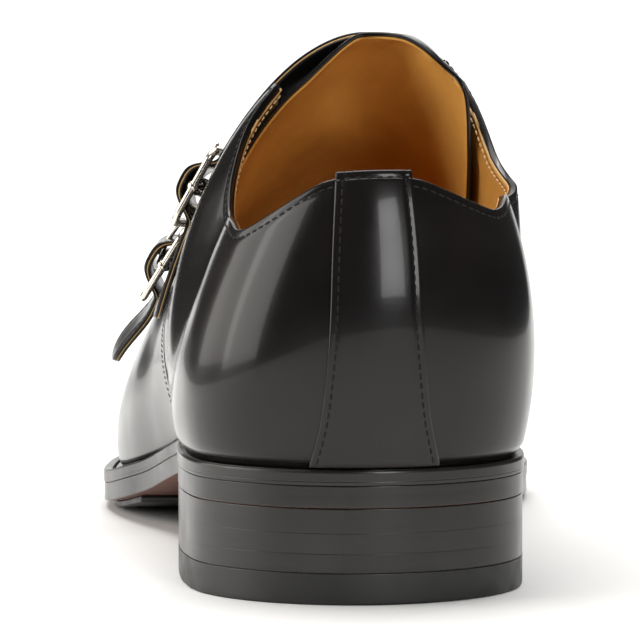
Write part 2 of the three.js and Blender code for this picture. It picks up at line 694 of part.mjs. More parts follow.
// Rectangle with round corners, drawn as a shape or a hole
function roundedRectangle(path, width, height, radius, x = 0, y = 0) {
  const [right, top] = [x + width / 2, y + height / 2];
  const [left, bottom] = [x - width / 2, y - height / 2];
  path.moveTo(left + radius, bottom);
  path.lineTo(right - radius, bottom);
  path.absarc(right - radius, bottom + radius, radius, -Math.PI / 2, 0);
  path.lineTo(right, top - radius);
  path.absarc(right - radius, top - radius, radius, 0, Math.PI / 2);
  path.lineTo(left + radius, top);
  path.absarc(left + radius, top - radius, radius, Math.PI / 2, Math.PI);
  path.lineTo(left, bottom + radius);
  path.absarc(left + radius, bottom + radius, radius, Math.PI, Math.PI * 1.5);
  return path;
}

// Buckle: a frame with rounded edges and a bar across its middle
function buckle(frame) {
  const edge = BUCKLE_WIRE / 4;
  const size = [BUCKLE_WIDTH - 2 * edge, BUCKLE_LENGTH - 2 * edge];
  const plate = roundedRectangle(new THREE.Shape(), ...size, BUCKLE_CORNER);
  const window = (BUCKLE_LENGTH - BUCKLE_BAR) / 2 - BUCKLE_WIRE;
  const middle = (window + BUCKLE_BAR) / 2;
  const inside = BUCKLE_WIDTH - 2 * BUCKLE_WIRE;
  [-middle, middle].forEach((y) => {
    const hole = new THREE.Path();
    plate.holes.push(roundedRectangle(hole, inside + 2 * edge, window + 2 * edge, BUCKLE_CORNER / 2, 0, y));
  });
  const bevel = { bevelSize: edge, bevelThickness: edge, bevelSegments: 1 };
  const options = { depth: BUCKLE_WIRE - 2 * edge, curveSegments: 2, ...bevel };
  const body = new THREE.ExtrudeGeometry(plate, options).translate(0, 0, edge - BUCKLE_WIRE / 2);
  return solid(body.applyMatrix4(frame));
}

// Loop round the bar: a short tube between two places along it
function barLoop(inside, outside, from, to) {
  const rim = new THREE.Shape().absarc(0, 0, outside, 0, 2 * Math.PI);
  rim.holes.push(new THREE.Path().absarc(0, 0, inside, 0, 2 * Math.PI));
  const tube = new THREE.ExtrudeGeometry(rim, { depth: to - from, bevelEnabled: false, curveSegments: 7 });
  return tube.applyMatrix4(new THREE.Matrix4().makeBasis(Y_AXIS, Z_AXIS, X_AXIS)).translate(from, 0, 0);
}

// Tab that holds the bar: a loop on each side of the prong and a foot that rests on the quarter
function tab(frame) {
  const start = PRONG / 2 + GAP;
  const end = start + TAB_WIDTH;
  const foot = new THREE.BoxGeometry(2 * end, 2 * LOOP_OUTSIDE, TAB);
  const stemHeight = BUCKLE_LIFT - LOOP_OUTSIDE + TAB / 2;
  const parts = [foot.translate(0, 0, TAB / 2 - BUCKLE_LIFT)];
  [[start, end], [-end, -start]].forEach(([from, to]) => {
    const stem = new THREE.BoxGeometry(TAB_WIDTH, 2 * TAB, stemHeight);
    parts.push(stem.translate((from + to) / 2, 0, stemHeight / 2 - BUCKLE_LIFT));
    parts.push(barLoop(LOOP_INSIDE, LOOP_OUTSIDE, from, to));
  });
  return parts.map((part) => solid(part.applyMatrix4(frame))).reduce((a, b) => a.add(b));
}

// Prong: a ring round the bar and a tapered pin that rests on the frame's upper rail
function prong(frame, extra = 0) {
  const root = new THREE.Vector3(0, 0, LOOP_INSIDE + PRONG / 2);
  const rail = BUCKLE_LENGTH / 2 - BUCKLE_WIRE / 2;
  const tip = new THREE.Vector3(0, -rail - PRONG, BUCKLE_WIRE / 2 + GAP + PRONG / 2);
  const length = root.distanceTo(tip) + extra;
  const pin = new THREE.CylinderGeometry(PRONG / 3 + extra, PRONG / 2 + extra, length, 10);
  const turned = new THREE.Quaternion().setFromUnitVectors(Y_AXIS, tip.clone().sub(root).normalize());
  pin.applyQuaternion(turned).translate(...root.clone().add(tip).divideScalar(2).toArray());
  const eye = barLoop(LOOP_INSIDE, LOOP_INSIDE + PRONG_EYE + extra, -PRONG / 2 - extra, PRONG / 2 + extra);
  return solid(pin.applyMatrix4(frame)).add(solid(eye.applyMatrix4(frame)));
}

const STRAPS = {
  top: { route: TOP_ROUTE, bar: TOP_BAR, standOff: TOP_STAND_OFF },
  lower: { route: LOWER_ROUTE, bar: LOWER_BAR, standOff: LOWER_STAND_OFF },
};
Object.entries(STRAPS).forEach(([name, place]) => {
  const frame = buckleFrame(place.route, place.bar);
  piece(`strap_${name}`, strap(place).subtract(prong(frame, GAP)), LEATHER);
  piece(`buckle_${name}`, buckle(frame), METAL);
  piece(`tab_${name}`, tab(frame), LEATHER);
  piece(`prong_${name}`, prong(frame), METAL);
});

export default shoe;
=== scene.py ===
# %% [markdown]
# # A double monk strap shoe
# This lesson dresses a left shoe of black polished calf. A shoemaker pulls leather over a wooden last,
# sews it to a welt and builds the sole and heel under it. We do the same with numbers: one surface, the
# last, is worked out first, and every leather piece is a patch of it at its own height.
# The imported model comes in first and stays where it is. All lengths are metres, +Z is up, +Y is the toe
# and +X is the inner side of the foot.

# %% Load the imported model
import bmesh
import bpy
import numpy as np
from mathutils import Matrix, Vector


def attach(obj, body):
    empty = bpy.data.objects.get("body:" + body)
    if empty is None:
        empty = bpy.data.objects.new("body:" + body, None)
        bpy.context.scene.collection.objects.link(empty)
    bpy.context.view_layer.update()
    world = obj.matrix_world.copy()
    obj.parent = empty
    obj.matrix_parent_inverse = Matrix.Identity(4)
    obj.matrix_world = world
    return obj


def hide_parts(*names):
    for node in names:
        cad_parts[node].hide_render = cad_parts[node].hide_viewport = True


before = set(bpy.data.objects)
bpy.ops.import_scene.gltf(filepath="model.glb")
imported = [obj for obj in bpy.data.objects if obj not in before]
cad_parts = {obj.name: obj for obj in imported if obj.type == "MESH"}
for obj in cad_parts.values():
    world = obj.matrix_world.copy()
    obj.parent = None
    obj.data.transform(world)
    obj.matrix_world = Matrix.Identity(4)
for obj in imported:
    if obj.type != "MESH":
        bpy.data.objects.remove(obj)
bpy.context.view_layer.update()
print("pieces in the packed model:", sorted(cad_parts))

# %% [markdown]
# The sizes are the same as the solid model's: the sole, the heel's layers, the last and the straps.
# Where the solids leave 0.3 mm between pieces so that they can be checked, real leather is pressed
# together, so the shown pieces close most of that gap and leave a hairline.

# %% Sizes of the shoe
MM = 0.001
SOLE_LENGTH, BALL_WIDTH, HEEL_BACK, HEEL_LENGTH = 0.302, 0.110, 0.034, 0.070
HEEL_HEIGHT, OUTSOLE, WELT, SOLE_GUARD = 0.0195, 0.0043, 0.0031, 0.0014
TOE_SPRING, BREAST_HOLLOW, WELT_MARGIN, GAP = 0.011, 0.003, 0.0052, 0.0003
INSTEP_RISE, WALL, QUARTER = 0.090, 0.0018, 0.0009
COLLAR_BACK, LATERAL_DIP, MEDIAL_DIP, THROAT_RISE = 0.0595, 0.0475, 0.0515, 0.091
TONGUE, TONGUE_CLEAR, TONGUE_RAISE, TONGUE_LIP = 0.0016, 0.0012, 0.0038, 0.0006
STRIP_WIDTH, STRAP_WIDTH, STRAP = 0.026, 0.0155, 0.0017
BUCKLE_LENGTH, BUCKLE_WIDTH, WIRE, BAR, PRONG = 0.021, 0.0215, 0.002, 0.0016, 0.0015

SEAT = HEEL_HEIGHT + GAP
TREAD = SOLE_GUARD + GAP
WELT_LOW = OUTSOLE + GAP
WELT_TOP = WELT_LOW + WELT
FEATHER = WELT_TOP + GAP
STRAP_BASE = QUARTER + 0.0005
BUCKLE_LIFT = STRAP + 0.0006 + WIRE / 2
STEP = 0.004
print("heel seat at", SEAT, "feather line at", SEAT + FEATHER)

# %% [markdown]
# A last is measured at a few places and faired between them. Here a short table gives a column of
# values at shares of the length, and a cubic joins them. Each stretch leaves a knot along the slope
# between its two neighbours, and a level stretch stays level.

# %% Fair curves through tables
def fair(knots, period=0.0):
    """Function of x through (x, value) knots: on each stretch h(t) is the cubic with end values v0, v1
    and end slopes m0, m1, where a knot's slope is the rise over the run of its two neighbours."""
    k = np.asarray(knots, float)
    if period:
        k = np.vstack([[k[-2, 0] - period, k[-2, 1]], k, [k[1, 0] + period, k[1, 1]]])
    else:
        k = np.vstack([k[0], k, k[-1]])
    before, here, after = k[:-2], k[1:-1], k[2:]
    inner = (before[:, 0] < here[:, 0]) & (here[:, 0] < after[:, 0])
    level = inner & ((before[:, 1] == here[:, 1]) | (here[:, 1] == after[:, 1]))
    slope = np.where(level, 0.0, (after[:, 1] - before[:, 1]) / (after[:, 0] - before[:, 0]))

    def value(x):
        x = np.clip(np.asarray(x, float), here[0, 0], here[-1, 0])
        i = np.searchsorted(here[1:-1, 0], x)
        span = here[i + 1, 0] - here[i, 0]
        t = (x - here[i, 0]) / span
        r = 1 - t
        ends = here[i, 1] * r * r * (1 + 2 * t) + here[i + 1, 1] * t * t * (3 - 2 * t)
        return ends + slope[i] * span * t * r * r - slope[i + 1] * span * t * t * r

    return value


def ease(x, low, high):
    """Smooth step: 0 below low, 1 above high, 3t^2 - 2t^3 between."""
    t = np.clip((np.asarray(x, float) - low) / (high - low), 0, 1)
    return t * t * (3 - 2 * t)


def turn_of(along):
    """Turn round the foot at a share of the length: arccos(1 - 2a) / pi."""
    return np.arccos(1 - 2 * np.clip(along, 0, 1)) / np.pi


def along_of(turn):
    """Share of the length at a turn: (1 - cos(pi t)) / 2."""
    return (1 - np.cos(np.pi * np.asarray(turn, float))) / 2


def length_of(along):
    """Place along Y of a share of the sole's length."""
    return along * SOLE_LENGTH - HEEL_BACK


def round_foot(along, lateral, medial):
    """Fair curve round the foot, turn -1 to 1, from a column for each side."""
    turns = turn_of(np.asarray(along))
    outer = np.stack([-turns[:0:-1], np.asarray(lateral)[:0:-1]], 1)
    inner = np.stack([turns, np.asarray(medial)], 1)
    return fair(np.vstack([outer, inner]), 2)


print("smooth step at the middle:", ease(0.5, 0, 1))

# %% [markdown]
# The sole's outline has a wide ball and a narrow waist, and bends inwards as the foot does. The ribs of
# the last are cubic curves that leave the welt leaning outwards and come over to the ridge along its top.

# %% Tables of the last
OUTLINE = np.array([
    [0, -.018, -.018], [.026, -.221, .193], [.066, -.309, .284], [.116, -.341, .318],
    [.182, -.346, .324], [.265, -.333, .293], [.331, -.332, .259], [.414, -.377, .286],
    [.497, -.441, .382], [.579, -.473, .482], [.662, -.457, .527], [.745, -.405, .507],
    [.828, -.318, .423], [.9, -.213, .288], [.96, -.095, .155], [1, .036, .036]])
RIB_PLACES = np.array([0, .1, .2, .3, .4, .5, .6, .72, .86, 1])
RISE = [.93, .93, .96, .985, .875, .79, .68, .58, .46, .29]
RIDGE = [.01, .03, .05, .073, .077, .073, .064, .062, .058, .045]
MARGIN = [.3, .3, .32, .4, .65, .9, 1, 1, 1, 1]
LEAN = [.25, .45, .75, .52, .4, .3, .25, .2, .15, .12], [.25, .35, .38, .55, .5, .4, .25, .2, .15, .12]
FOOT = [.55, .36, .24, .38, .4, .4, .4, .42, .48, .55], [.55, .48, .45, .45, .45, .42, .42, .42, .48, .55]
CROWN = [.85, .36, .12, .56, .55, .6, .6, .6, .62, .65], [.85, .7, .84, 1.66, 1.3, .8, .65, .6, .62, .65]
RIDGE_START, RIDGE_END = 0.14, 0.9
PROFILE = np.array([[0, 1, 0], [.24, 1, 0], [.34, .8, 0], [.45, .36, 0], [.55, .07, 0], [.62, 0, 0],
                    [.71, 0, 0], [.8, 0, .15], [.9, 0, .5], [1, 0, 1]])

outline_x = round_foot(OUTLINE[:, 0], OUTLINE[:, 1], OUTLINE[:, 2])
margin, rise, ridge_x = (round_foot(RIB_PLACES, c, c) for c in (MARGIN, RISE, RIDGE))
lean, foot_hold, crown_hold = (round_foot(RIB_PLACES, *pair) for pair in (LEAN, FOOT, CROWN))
drop, spring = fair(PROFILE[:, [0, 1]]), fair(PROFILE[:, [0, 2]])
print("ball width:", round(float(outline_x(turn_of(.66)) - outline_x(-turn_of(.58))) * BALL_WIDTH, 4))

# %% Surface of the last
def underside(y):
    """Height of the outsole's underside: the seat's height fades to the tread's, then the toe springs."""
    along = (y + HEEL_BACK) / SOLE_LENGTH
    return TREAD + (SEAT - TREAD) * drop(along) + TOE_SPRING * spring(along)


def wrap(turn):
    """Turns past the toe come back on the other side."""
    return (np.asarray(turn, float) + 1) % 2 - 1


def outline(turn, inset=0.0):
    """Point of the sole's outline, moved inwards at right angles to it."""
    def point(t):
        t = wrap(t)
        return np.stack([outline_x(t) * BALL_WIDTH, length_of(along_of(t))], -1)

    tangent = point(turn + STEP) - point(turn - STEP)
    tangent /= np.linalg.norm(tangent, axis=-1, keepdims=True)
    inward = np.stack([-tangent[..., 1], tangent[..., 0]], -1)
    return point(turn) + inward * np.asarray(inset, float)[..., None]


def ridge(along):
    """Line along the top of the last."""
    turn = turn_of(along)
    length = length_of(RIDGE_START + (RIDGE_END - RIDGE_START) * np.clip(along, 0, 1))
    low = outline(turn, margin(turn) * WELT_MARGIN)
    height = underside(low[..., 1]) + FEATHER + rise(turn) * INSTEP_RISE
    return np.stack([ridge_x(turn) * BALL_WIDTH, length, height], -1)


def last_point(turn, up):
    """Cubic rib b(u) = (1-u)^3 foot + 3(1-u)^2 u lower + 3(1-u) u^2 upper + u^3 top."""
    turn, up = np.broadcast_arrays(np.asarray(turn, float), np.asarray(up, float))
    turn, up = np.where(up > 1, -turn, turn), np.where(up > 1, 2 - up, up)
    place = wrap(turn)
    along = along_of(place)
    low = outline(place, margin(place) * WELT_MARGIN)
    foot = np.stack([low[..., 0], low[..., 1], underside(low[..., 1]) + FEATHER], -1)
    top = ridge(along)
    near, far = ridge(np.maximum(along - STEP, 0)), ridge(np.minimum(along + STEP, 1))
    fall = (far[..., 2] - near[..., 2]) / (far[..., 1] - near[..., 1])
    out = (foot - top) * [1, 1, 0]
    reach = np.linalg.norm(out, axis=-1)
    out = out / reach[..., None]
    wall = (top[..., 2] - foot[..., 2]) * foot_hold(place)
    arm = reach * crown_hold(place)
    lower = foot + out * (wall * lean(place))[..., None]
    lower[..., 2] += wall
    upper = top + out * arm[..., None]
    upper[..., 2] += fall * out[..., 1] * arm
    u = up[..., None]
    a = 1 - u
    return a ** 3 * foot + 3 * a * a * u * lower + 3 * a * u * u * upper + u ** 3 * top


def skin_normal(turn, up):
    """Unit cross product of the slopes round and up the last, made level at the feather line."""
    level = np.clip(up, STEP, 1 - STEP)
    around = last_point(turn + STEP, level) - last_point(turn - STEP, level)
    upwards = last_point(turn, level + STEP) - last_point(turn, level - STEP)
    normal = np.cross(around, upwards)
    normal /= np.linalg.norm(normal, axis=-1, keepdims=True)
    normal[..., 2] *= ease(up, 0, 0.12)
    return normal / np.linalg.norm(normal, axis=-1, keepdims=True)


def skin(turn, up, offset):
    """Point of the last moved outwards by offset."""
    return last_point(turn, up) + skin_normal(turn, up) * np.asarray(offset, float)[..., None]


def over(across, along, offset):
    """The same surface by a share across it: -1 lateral feather line, 0 ridge, 1 medial feather line."""
    turn = turn_of(along) * np.where(np.asarray(across) < 0, -1, 1)
    return skin(turn, 1 - np.abs(across), offset)


print("instep, ball and toe of the last:", ridge(np.array([.35, .66, 1])).round(4).tolist())

# %% [markdown]
# Every piece is a grid of points, and a grid needs its faces. Rows and columns are numbered once as
# whole arrays. A piece with thickness is a closed section carried along a line, like a tube, so its
# edges can be rounded and its ends closed. Edges that meet each other are merged.

# %% Grids and closed sections
def quads(rows, columns):
    """Faces of a grid with the given number of points: (r, c), (r, c+1), (r+1, c+1), (r+1, c)."""
    r, c = np.meshgrid(np.arange(rows - 1), np.arange(columns - 1), indexing="ij")
    a = r * columns + c
    return np.stack([a, a + 1, a + columns + 1, a + columns], -1).reshape(-1, 4)


def piece(name, points, faces, finish, stands_for=(), merge=0.0):
    """New mesh object in the shoe's own frame, with its finish, riding on the root body."""
    mesh = bpy.data.meshes.new(name)
    faces = faces if isinstance(faces, list) else faces.tolist()
    mesh.from_pydata(np.asarray(points).reshape(-1, 3), [], faces)
    mesh.validate()
    if merge:
        work = bmesh.new()
        work.from_mesh(mesh)
        bmesh.ops.remove_doubles(work, verts=work.verts, dist=merge)
        bmesh.ops.dissolve_degenerate(work, edges=work.edges, dist=merge / 10)
        work.to_mesh(mesh)
        work.free()
    mesh.polygons.foreach_set("use_smooth", np.ones(len(mesh.polygons), bool))
    thing = bpy.data.objects.new(name, mesh)
    bpy.context.collection.objects.link(thing)
    mesh.materials.append(finish)
    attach(thing, "root")
    if stands_for:
        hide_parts(*stands_for)
    print(name, len(mesh.vertices), "points", len(mesh.polygons), "faces")
    return thing


def tube(sections, closed=False, caps=True):
    """Points and faces of closed sections (stations, section points, 3) carried along a line.
    Each section is a loop; the first and last are closed by a face unless the line itself closes."""
    stations, around, _ = sections.shape
    count = stations if closed else stations - 1
    s, a = np.meshgrid(np.arange(count), np.arange(around), indexing="ij")
    t, b = (s + 1) % stations, (a + 1) % around
    faces = np.stack([s * around + a, s * around + b, t * around + b, t * around + a], -1)
    faces = faces.reshape(-1, 4).tolist()
    if caps and not closed:
        faces.append(list(range(around))[::-1])
        faces.append([(stations - 1) * around + i for i in range(around)])
    return sections.reshape(-1, 3), faces


def volume_sign(points, faces):
    """Sign of the enclosed volume, the sum of a . (b x c) / 6 over the fans of the faces."""
    tri = np.array([[f[0], f[i], f[i + 1]] for f in faces for i in range(1, len(f) - 1)])
    a, b, c = points[tri[:, 0]], points[tri[:, 1]], points[tri[:, 2]]
    return np.sign(np.einsum("ij,ij->i", a, np.cross(b, c)).sum())


def solid_tube(name, sections, finish, stands_for=(), merge=0.0, closed=False, caps=True):
    """Closed piece from sections, turned so that its faces point outwards."""
    points, faces = tube(np.asarray(sections), closed, caps)
    if volume_sign(points, faces) < 0:
        faces = [f[::-1] for f in faces]
    return piece(name, points, faces, finish, stands_for, merge)


print("faces of a 3 by 3 grid:", len(quads(3, 3)))

# %% [markdown]
# # Finishes
# Polished calf is dyed through and waxed: a dark body with a clear, hard shine over it, fine pores, and
# places that the cloth polished more than others. We keep one small helper that starts a finish, and
# add pores, clouds and paler edges with nodes that read the piece's own coordinates, so they stay on the
# piece. The paler colour on sharp edges is partly rubbed wear and partly a painted highlight.

# %% Start of a finish
def new_finish(name, colour, roughness, metal=0.0, coat=0.0, coat_roughness=0.05, specular=0.5):
    """Principled finish whose uniform numbers sit on the shader's own sockets."""
    finish = bpy.data.materials.new(name)
    finish.use_nodes = True
    shader = finish.node_tree.nodes["Principled BSDF"]
    for key, value in {"Base Color": (*colour, 1), "Roughness": roughness, "Metallic": metal,
                       "Coat Weight": coat, "Coat Roughness": coat_roughness,
                       "Specular IOR Level": specular}.items():
        shader.inputs[key].default_value = value
    finish.diffuse_color = (*colour, 1)
    return finish


def node(finish, kind, links=(), **values):
    """New node with its settings; links are (input, output socket) pairs."""
    tree = finish.node_tree
    made = tree.nodes.new(kind)
    for key, value in values.items():
        if hasattr(made, key) and key not in made.inputs:
            setattr(made, key, value)
        else:
            made.inputs[key.replace("_", " ")].default_value = value
    for key, output in links:
        tree.links.new(output, made.inputs[key])
    return made


def place(finish, stretch=(1, 1, 1)):
    """Object coordinates, stretched."""
    where = node(finish, "ShaderNodeTexCoord").outputs["Object"]
    return node(finish, "ShaderNodeMapping", [("Vector", where)], Scale=stretch).outputs["Vector"]


def clouds(finish, scale, detail=4.0, stretch=(1, 1, 1), rough=0.5):
    """Noise that wanders between 0 and 1."""
    return node(finish, "ShaderNodeTexNoise", [("Vector", place(finish, stretch))],
                Scale=scale, Detail=detail, Roughness=rough).outputs["Fac"]


def pores(finish, scale, stretch=(1, 1, 1)):
    """Distance to the middle of small cells, 0 in a pore."""
    return node(finish, "ShaderNodeTexVoronoi", [("Vector", place(finish, stretch))],
                Scale=scale).outputs["Distance"]


def spread(finish, value, low, high, start=0.3, end=0.7):
    """Map Range from start..end to low..high."""
    return node(finish, "ShaderNodeMapRange", [("Value", value)], **{
        "From Min": start, "From Max": end, "To Min": low, "To Max": high}).outputs["Result"]


def blend_colour(finish, share, first, second):
    """Colour between two, by a share."""
    mix = node(finish, "ShaderNodeMix", data_type="RGBA")
    mix.inputs[6].default_value, mix.inputs[7].default_value = (*first, 1), (*second, 1)
    finish.node_tree.links.new(share, mix.inputs[0])
    return mix.outputs[2]


def over_colour(finish, share, below, second):
    """Colour laid over another one by a share."""
    mix = node(finish, "ShaderNodeMix", data_type="RGBA")
    finish.node_tree.links.new(share, mix.inputs[0])
    finish.node_tree.links.new(below, mix.inputs[6])
    mix.inputs[7].default_value = (*second, 1)
    return mix.outputs[2]


def relief(finish, *layers):
    """Bumps on each other: (height, strength, distance in metres) for each layer."""
    normal = None
    for height, strength, distance in layers:
        links = [("Height", height)] + ([("Normal", normal)] if normal else [])
        normal = node(finish, "ShaderNodeBump", links, Strength=strength, Distance=distance).outputs["Normal"]
    return normal


def wire(finish, **sockets):
    """Joins node outputs to the shader's sockets."""
    shader = finish.node_tree.nodes["Principled BSDF"]
    for key, output in sockets.items():
        finish.node_tree.links.new(output, shader.inputs[key.replace("_", " ")])
    return finish


def edge_wear_and_highlight(finish, low=0.52, high=0.6):
    """Share that rises on sharp convex edges, for a paler colour there: partly rubbed wear, partly a painted
    highlight.
    """
    edge = node(finish, "ShaderNodeNewGeometry").outputs["Pointiness"]
    return spread(finish, edge, 0.0, 1.0, low, high)



def mottled(finish, dark, light, *noise):
    """Cloudy colour between a dark and a light tone."""
    return blend_colour(finish, spread(finish, clouds(finish, *noise), 0, 1), dark, light)


print("finish helpers ready")

# %% Black polished calf
def black_calf(name, shine, grain=1.0):
    """Near-black dye with faint brown clouds, wax shine over it, fine pores and polishing streaks."""
    made = new_finish(name, (0.008, 0.007, 0.007), 0.3, coat=shine, coat_roughness=0.06, specular=0.25)
    body = mottled(made, (0.005, 0.0045, 0.0045), (0.012, 0.010, 0.009), 45)
    # Paler colour on sharp convex edges: partly rubbed wear, partly a painted highlight along the edges.
    wear_and_highlight = over_colour(made, spread(made, edge_wear_and_highlight(made), 0, 0.15, 0, 1), body, (0.05, 0.045, 0.04))
    rough = spread(made, clouds(made, 30, 2, (1, 1, 2.2)), 0.15, 0.27)
    fine = relief(made, (pores(made, 1500), 0.08 * grain, 0.00005),
                  (clouds(made, 800, 2), 0.08 * grain, 0.00006),
                  (clouds(made, 60, 0), 0.14, 0.0004), (clouds(made, 190, 1), 0.05, 0.0002))
    return wire(made, Base_Color=wear_and_highlight, Roughness=rough, Normal=fine)


calf = black_calf("black_calf", 0.22)
strap_calf = black_calf("strap_calf", 0.08, 1.3)
print("calf finishes:", calf.name, strap_calf.name)

# %% [markdown]
# The edges of sole, welt and heel are trimmed leather layers, inked black and ironed with wax. The
# layers still show as fine level lines. The underside is stained red-brown, and the heel stands on rubber.

# %% Sole, heel and rubber
def inked_edge(name, lines):
    """Black ink on cut leather: level lines are noise squeezed along Z, with wax shine over them."""
    made = new_finish(name, (0.009, 0.008, 0.008), 0.32, coat=0.2, coat_roughness=0.12, specular=0.38)
    layers = clouds(made, 60, 3, (0.25, 0.25, lines))
    body = blend_colour(made, spread(made, layers, 0, 1), (0.006, 0.0055, 0.0055), (0.014, 0.012, 0.011))
    # Paler colour on the sharp edges of the layers: partly rubbed wear, partly a painted highlight along
    # them.
    wear_and_highlight = over_colour(made, spread(made, edge_wear_and_highlight(made), 0, 0.25, 0, 1), body, (0.11, 0.1, 0.09))
    rough = spread(made, clouds(made, 55, 6, (1, 1, 0.6)), 0.22, 0.42)
    lined = relief(made, (layers, 0.06, 0.0001), (clouds(made, 700, 2), 0.06, 0.00006))
    return wire(made, Base_Color=wear_and_highlight, Roughness=rough, Normal=lined)


heel_edge = inked_edge("heel_edge", 7)
welt_edge = inked_edge("welt_edge", 10)

sole_stain = new_finish("sole_stain", (0.09, 0.028, 0.018), 0.5, coat=0.15, coat_roughness=0.3)
stain = mottled(sole_stain, (0.07, 0.02, 0.014), (0.17, 0.06, 0.035), 50, 6)
wire(sole_stain, Base_Color=stain, Roughness=spread(sole_stain, clouds(sole_stain, 200), 0.4, 0.6),
     Normal=relief(sole_stain, (clouds(sole_stain, 600, 5), 0.2, 0.0001)))

rubber = new_finish("black_rubber", (0.016, 0.016, 0.016), 0.5)
wire(rubber, Base_Color=mottled(rubber, (0.006, 0.006, 0.006), (0.014, 0.0135, 0.013), 80, 6),
     Roughness=spread(rubber, clouds(rubber, 160), 0.34, 0.55),
     Normal=relief(rubber, (clouds(rubber, 1200, 4), 0.25, 0.00008)))
print("edge finishes:", heel_edge.name, welt_edge.name, sole_stain.name, rubber.name)

# %% [markdown]
# The lining is a soft tan leather, matt, darker where it was handled. Cut edges of the black leather
# show the same tan. The buckles are a pale, warm metal, brushed by polishing, and the thread is waxed.

# %% Lining, thread and metal
def tan_leather(name, dark, light):
    """Matt tan with soft clouds and short hairs of grain."""
    made = new_finish(name, light, 0.6, specular=0.35)
    mottle = blend_colour(made, spread(made, clouds(made, 38, 6), 0, 1, 0.25, 0.75), dark, light)
    return wire(made, Base_Color=mottle, Roughness=spread(made, clouds(made, 120), 0.48, 0.7),
                Normal=relief(made, (pores(made, 1300), 0.3, 0.0001), (clouds(made, 260, 5), 0.3, 0.0002)))


lining_tan = tan_leather("lining_tan", (0.5, 0.23, 0.04), (0.76, 0.4, 0.085))
raw_edge = tan_leather("raw_edge", (0.5, 0.28, 0.09), (0.8, 0.52, 0.22))

thread = new_finish("waxed_thread", (0.005, 0.005, 0.005), 0.6, specular=0.2)
wire(thread, Base_Color=mottled(thread, (0.004, 0.004, 0.004), (0.016, 0.015, 0.014), 900),
     Normal=relief(thread, (clouds(thread, 5000, 2), 0.5, 0.0001)))

silver = new_finish("buckle_silver", (0.78, 0.73, 0.64), 0.2, metal=1.0)
wire(silver, Base_Color=mottled(silver, (0.7, 0.64, 0.54), (0.86, 0.81, 0.73), 220, 4),
     Roughness=spread(silver, clouds(silver, 500, 4, (1, 1, 6)), 0.13, 0.3),
     Normal=relief(silver, (clouds(silver, 900, 3, (1, 1, 8)), 0.08, 0.00005)))
tan_thread = new_finish("tan_thread", (0.62, 0.42, 0.2), 0.5)
wire(tan_thread, Base_Color=mottled(tan_thread, (0.45, 0.27, 0.1), (0.75, 0.55, 0.3), 900),
     Normal=relief(tan_thread, (clouds(tan_thread, 5000, 2), 0.5, 0.0001)))
print("other finishes:", lining_tan.name, raw_edge.name, thread.name, tan_thread.name, silver.name)

# %% [markdown]
# # The upper
# The quarters are the two sides that meet at the heel, cut low round the ankle. Their edges are lines
# on the last: the collar, the slot under the straps, and the seam over the vamp. Each line is found on
# every rib by halving, for all ribs at once, so that the pieces on it share it exactly.

# %% Lines of the upper
COLLAR = np.array([[0, 1, 0, 0], [.012, 1, 0, 0], [.02, .88, 0, 0], [.026, .64, 0, 0], [.035, .36, 0, 0],
                   [.05, .1, 0, 0], [.066, .02, .002, .015], [.09, 0, .042, .06], [.115, 0, .055, .078],
                   [.14, 0, .046, .058], [.175, 0, .01, .04], [.198, 0, -.01, .04], [.216, 0, -.016, .048],
                   [.232, 0, -.006, .07], [.249, 0, .041, .115], [.267, 0, .152, .17],
                   [.288, 0, .322, .28], [.31, 0, .505, .506], [.323, 0, .64, .65], [.34, 0, .8, .815],
                   [.354, 0, .9, .927], [.371, 0, 1, 1], [.4, 0, 1.25, 1.25]])
FRONT_SEAM = np.array([[.3, .1], [.33, .33], [.375, .46], [.43, .6], [.49, .8], [.5, 1.5]])
SLOT = np.array([[.24, -.28, .24], [.3, -.28, .24], [.34, -.28, .22], [.42, -.24, .17], [.455, -.16, .11],
                 [.47, -.05, .02]])

collar_back, lateral_throat, medial_throat = (fair(COLLAR[:, [0, i]]) for i in (1, 2, 3))
slot_lateral, slot_medial = fair(SLOT[:, [0, 1]]), fair(SLOT[:, [0, 2]])


def collar_height(point):
    """Height of the collar line over a point: from the dip's height a share of the way to the back's
    height and a share of the way to the throat's."""
    along = (point[..., 1] + HEEL_BACK) / SOLE_LENGTH
    side = ease(point[..., 0], -BALL_WIDTH / 4, BALL_WIDTH / 4)
    dip = LATERAL_DIP + (MEDIAL_DIP - LATERAL_DIP) * side
    throat = lateral_throat(along) * (1 - side) + medial_throat(along) * side
    return SEAT + WELT_TOP + dip + collar_back(along) * (COLLAR_BACK - dip) + throat * (THROAT_RISE - dip)


def front_curve():
    """Seam of quarter over vamp from the side: cubic stretches whose slopes are half the step
    between the neighbours."""
    p = np.stack([length_of(FRONT_SEAM[:, 0]), FRONT_SEAM[:, 1] * INSTEP_RISE], 1)
    p = np.vstack([p[0], p, p[-1]])
    t = np.linspace(0, 1, 40)[None, :, None]
    a, b, c, d = (p[i:len(p) - 3 + i, None] for i in range(4))
    v, w = (c - a) / 2, (d - b) / 2
    cubic = (2 * b - 2 * c + v + w) * t ** 3 + (3 * c - 3 * b - 2 * v - w) * t ** 2
    return (cubic + v * t + b).reshape(-1, 2)


seam_line = front_curve()


def ahead_of_seam(point):
    """Distance along Y in front of the seam of quarter over vamp."""
    return point[..., 1] - np.interp(point[..., 2], seam_line[:, 1], seam_line[:, 0])


def halve(test, low, high, rounds=26):
    """Place where test turns from False to True, for whole arrays, by halving."""
    low, high = np.array(low, float), np.array(high, float)
    for _ in range(rounds):
        middle = (low + high) / 2
        over_line = test(middle)
        low, high = np.where(over_line, low, middle), np.where(over_line, middle, high)
    return low


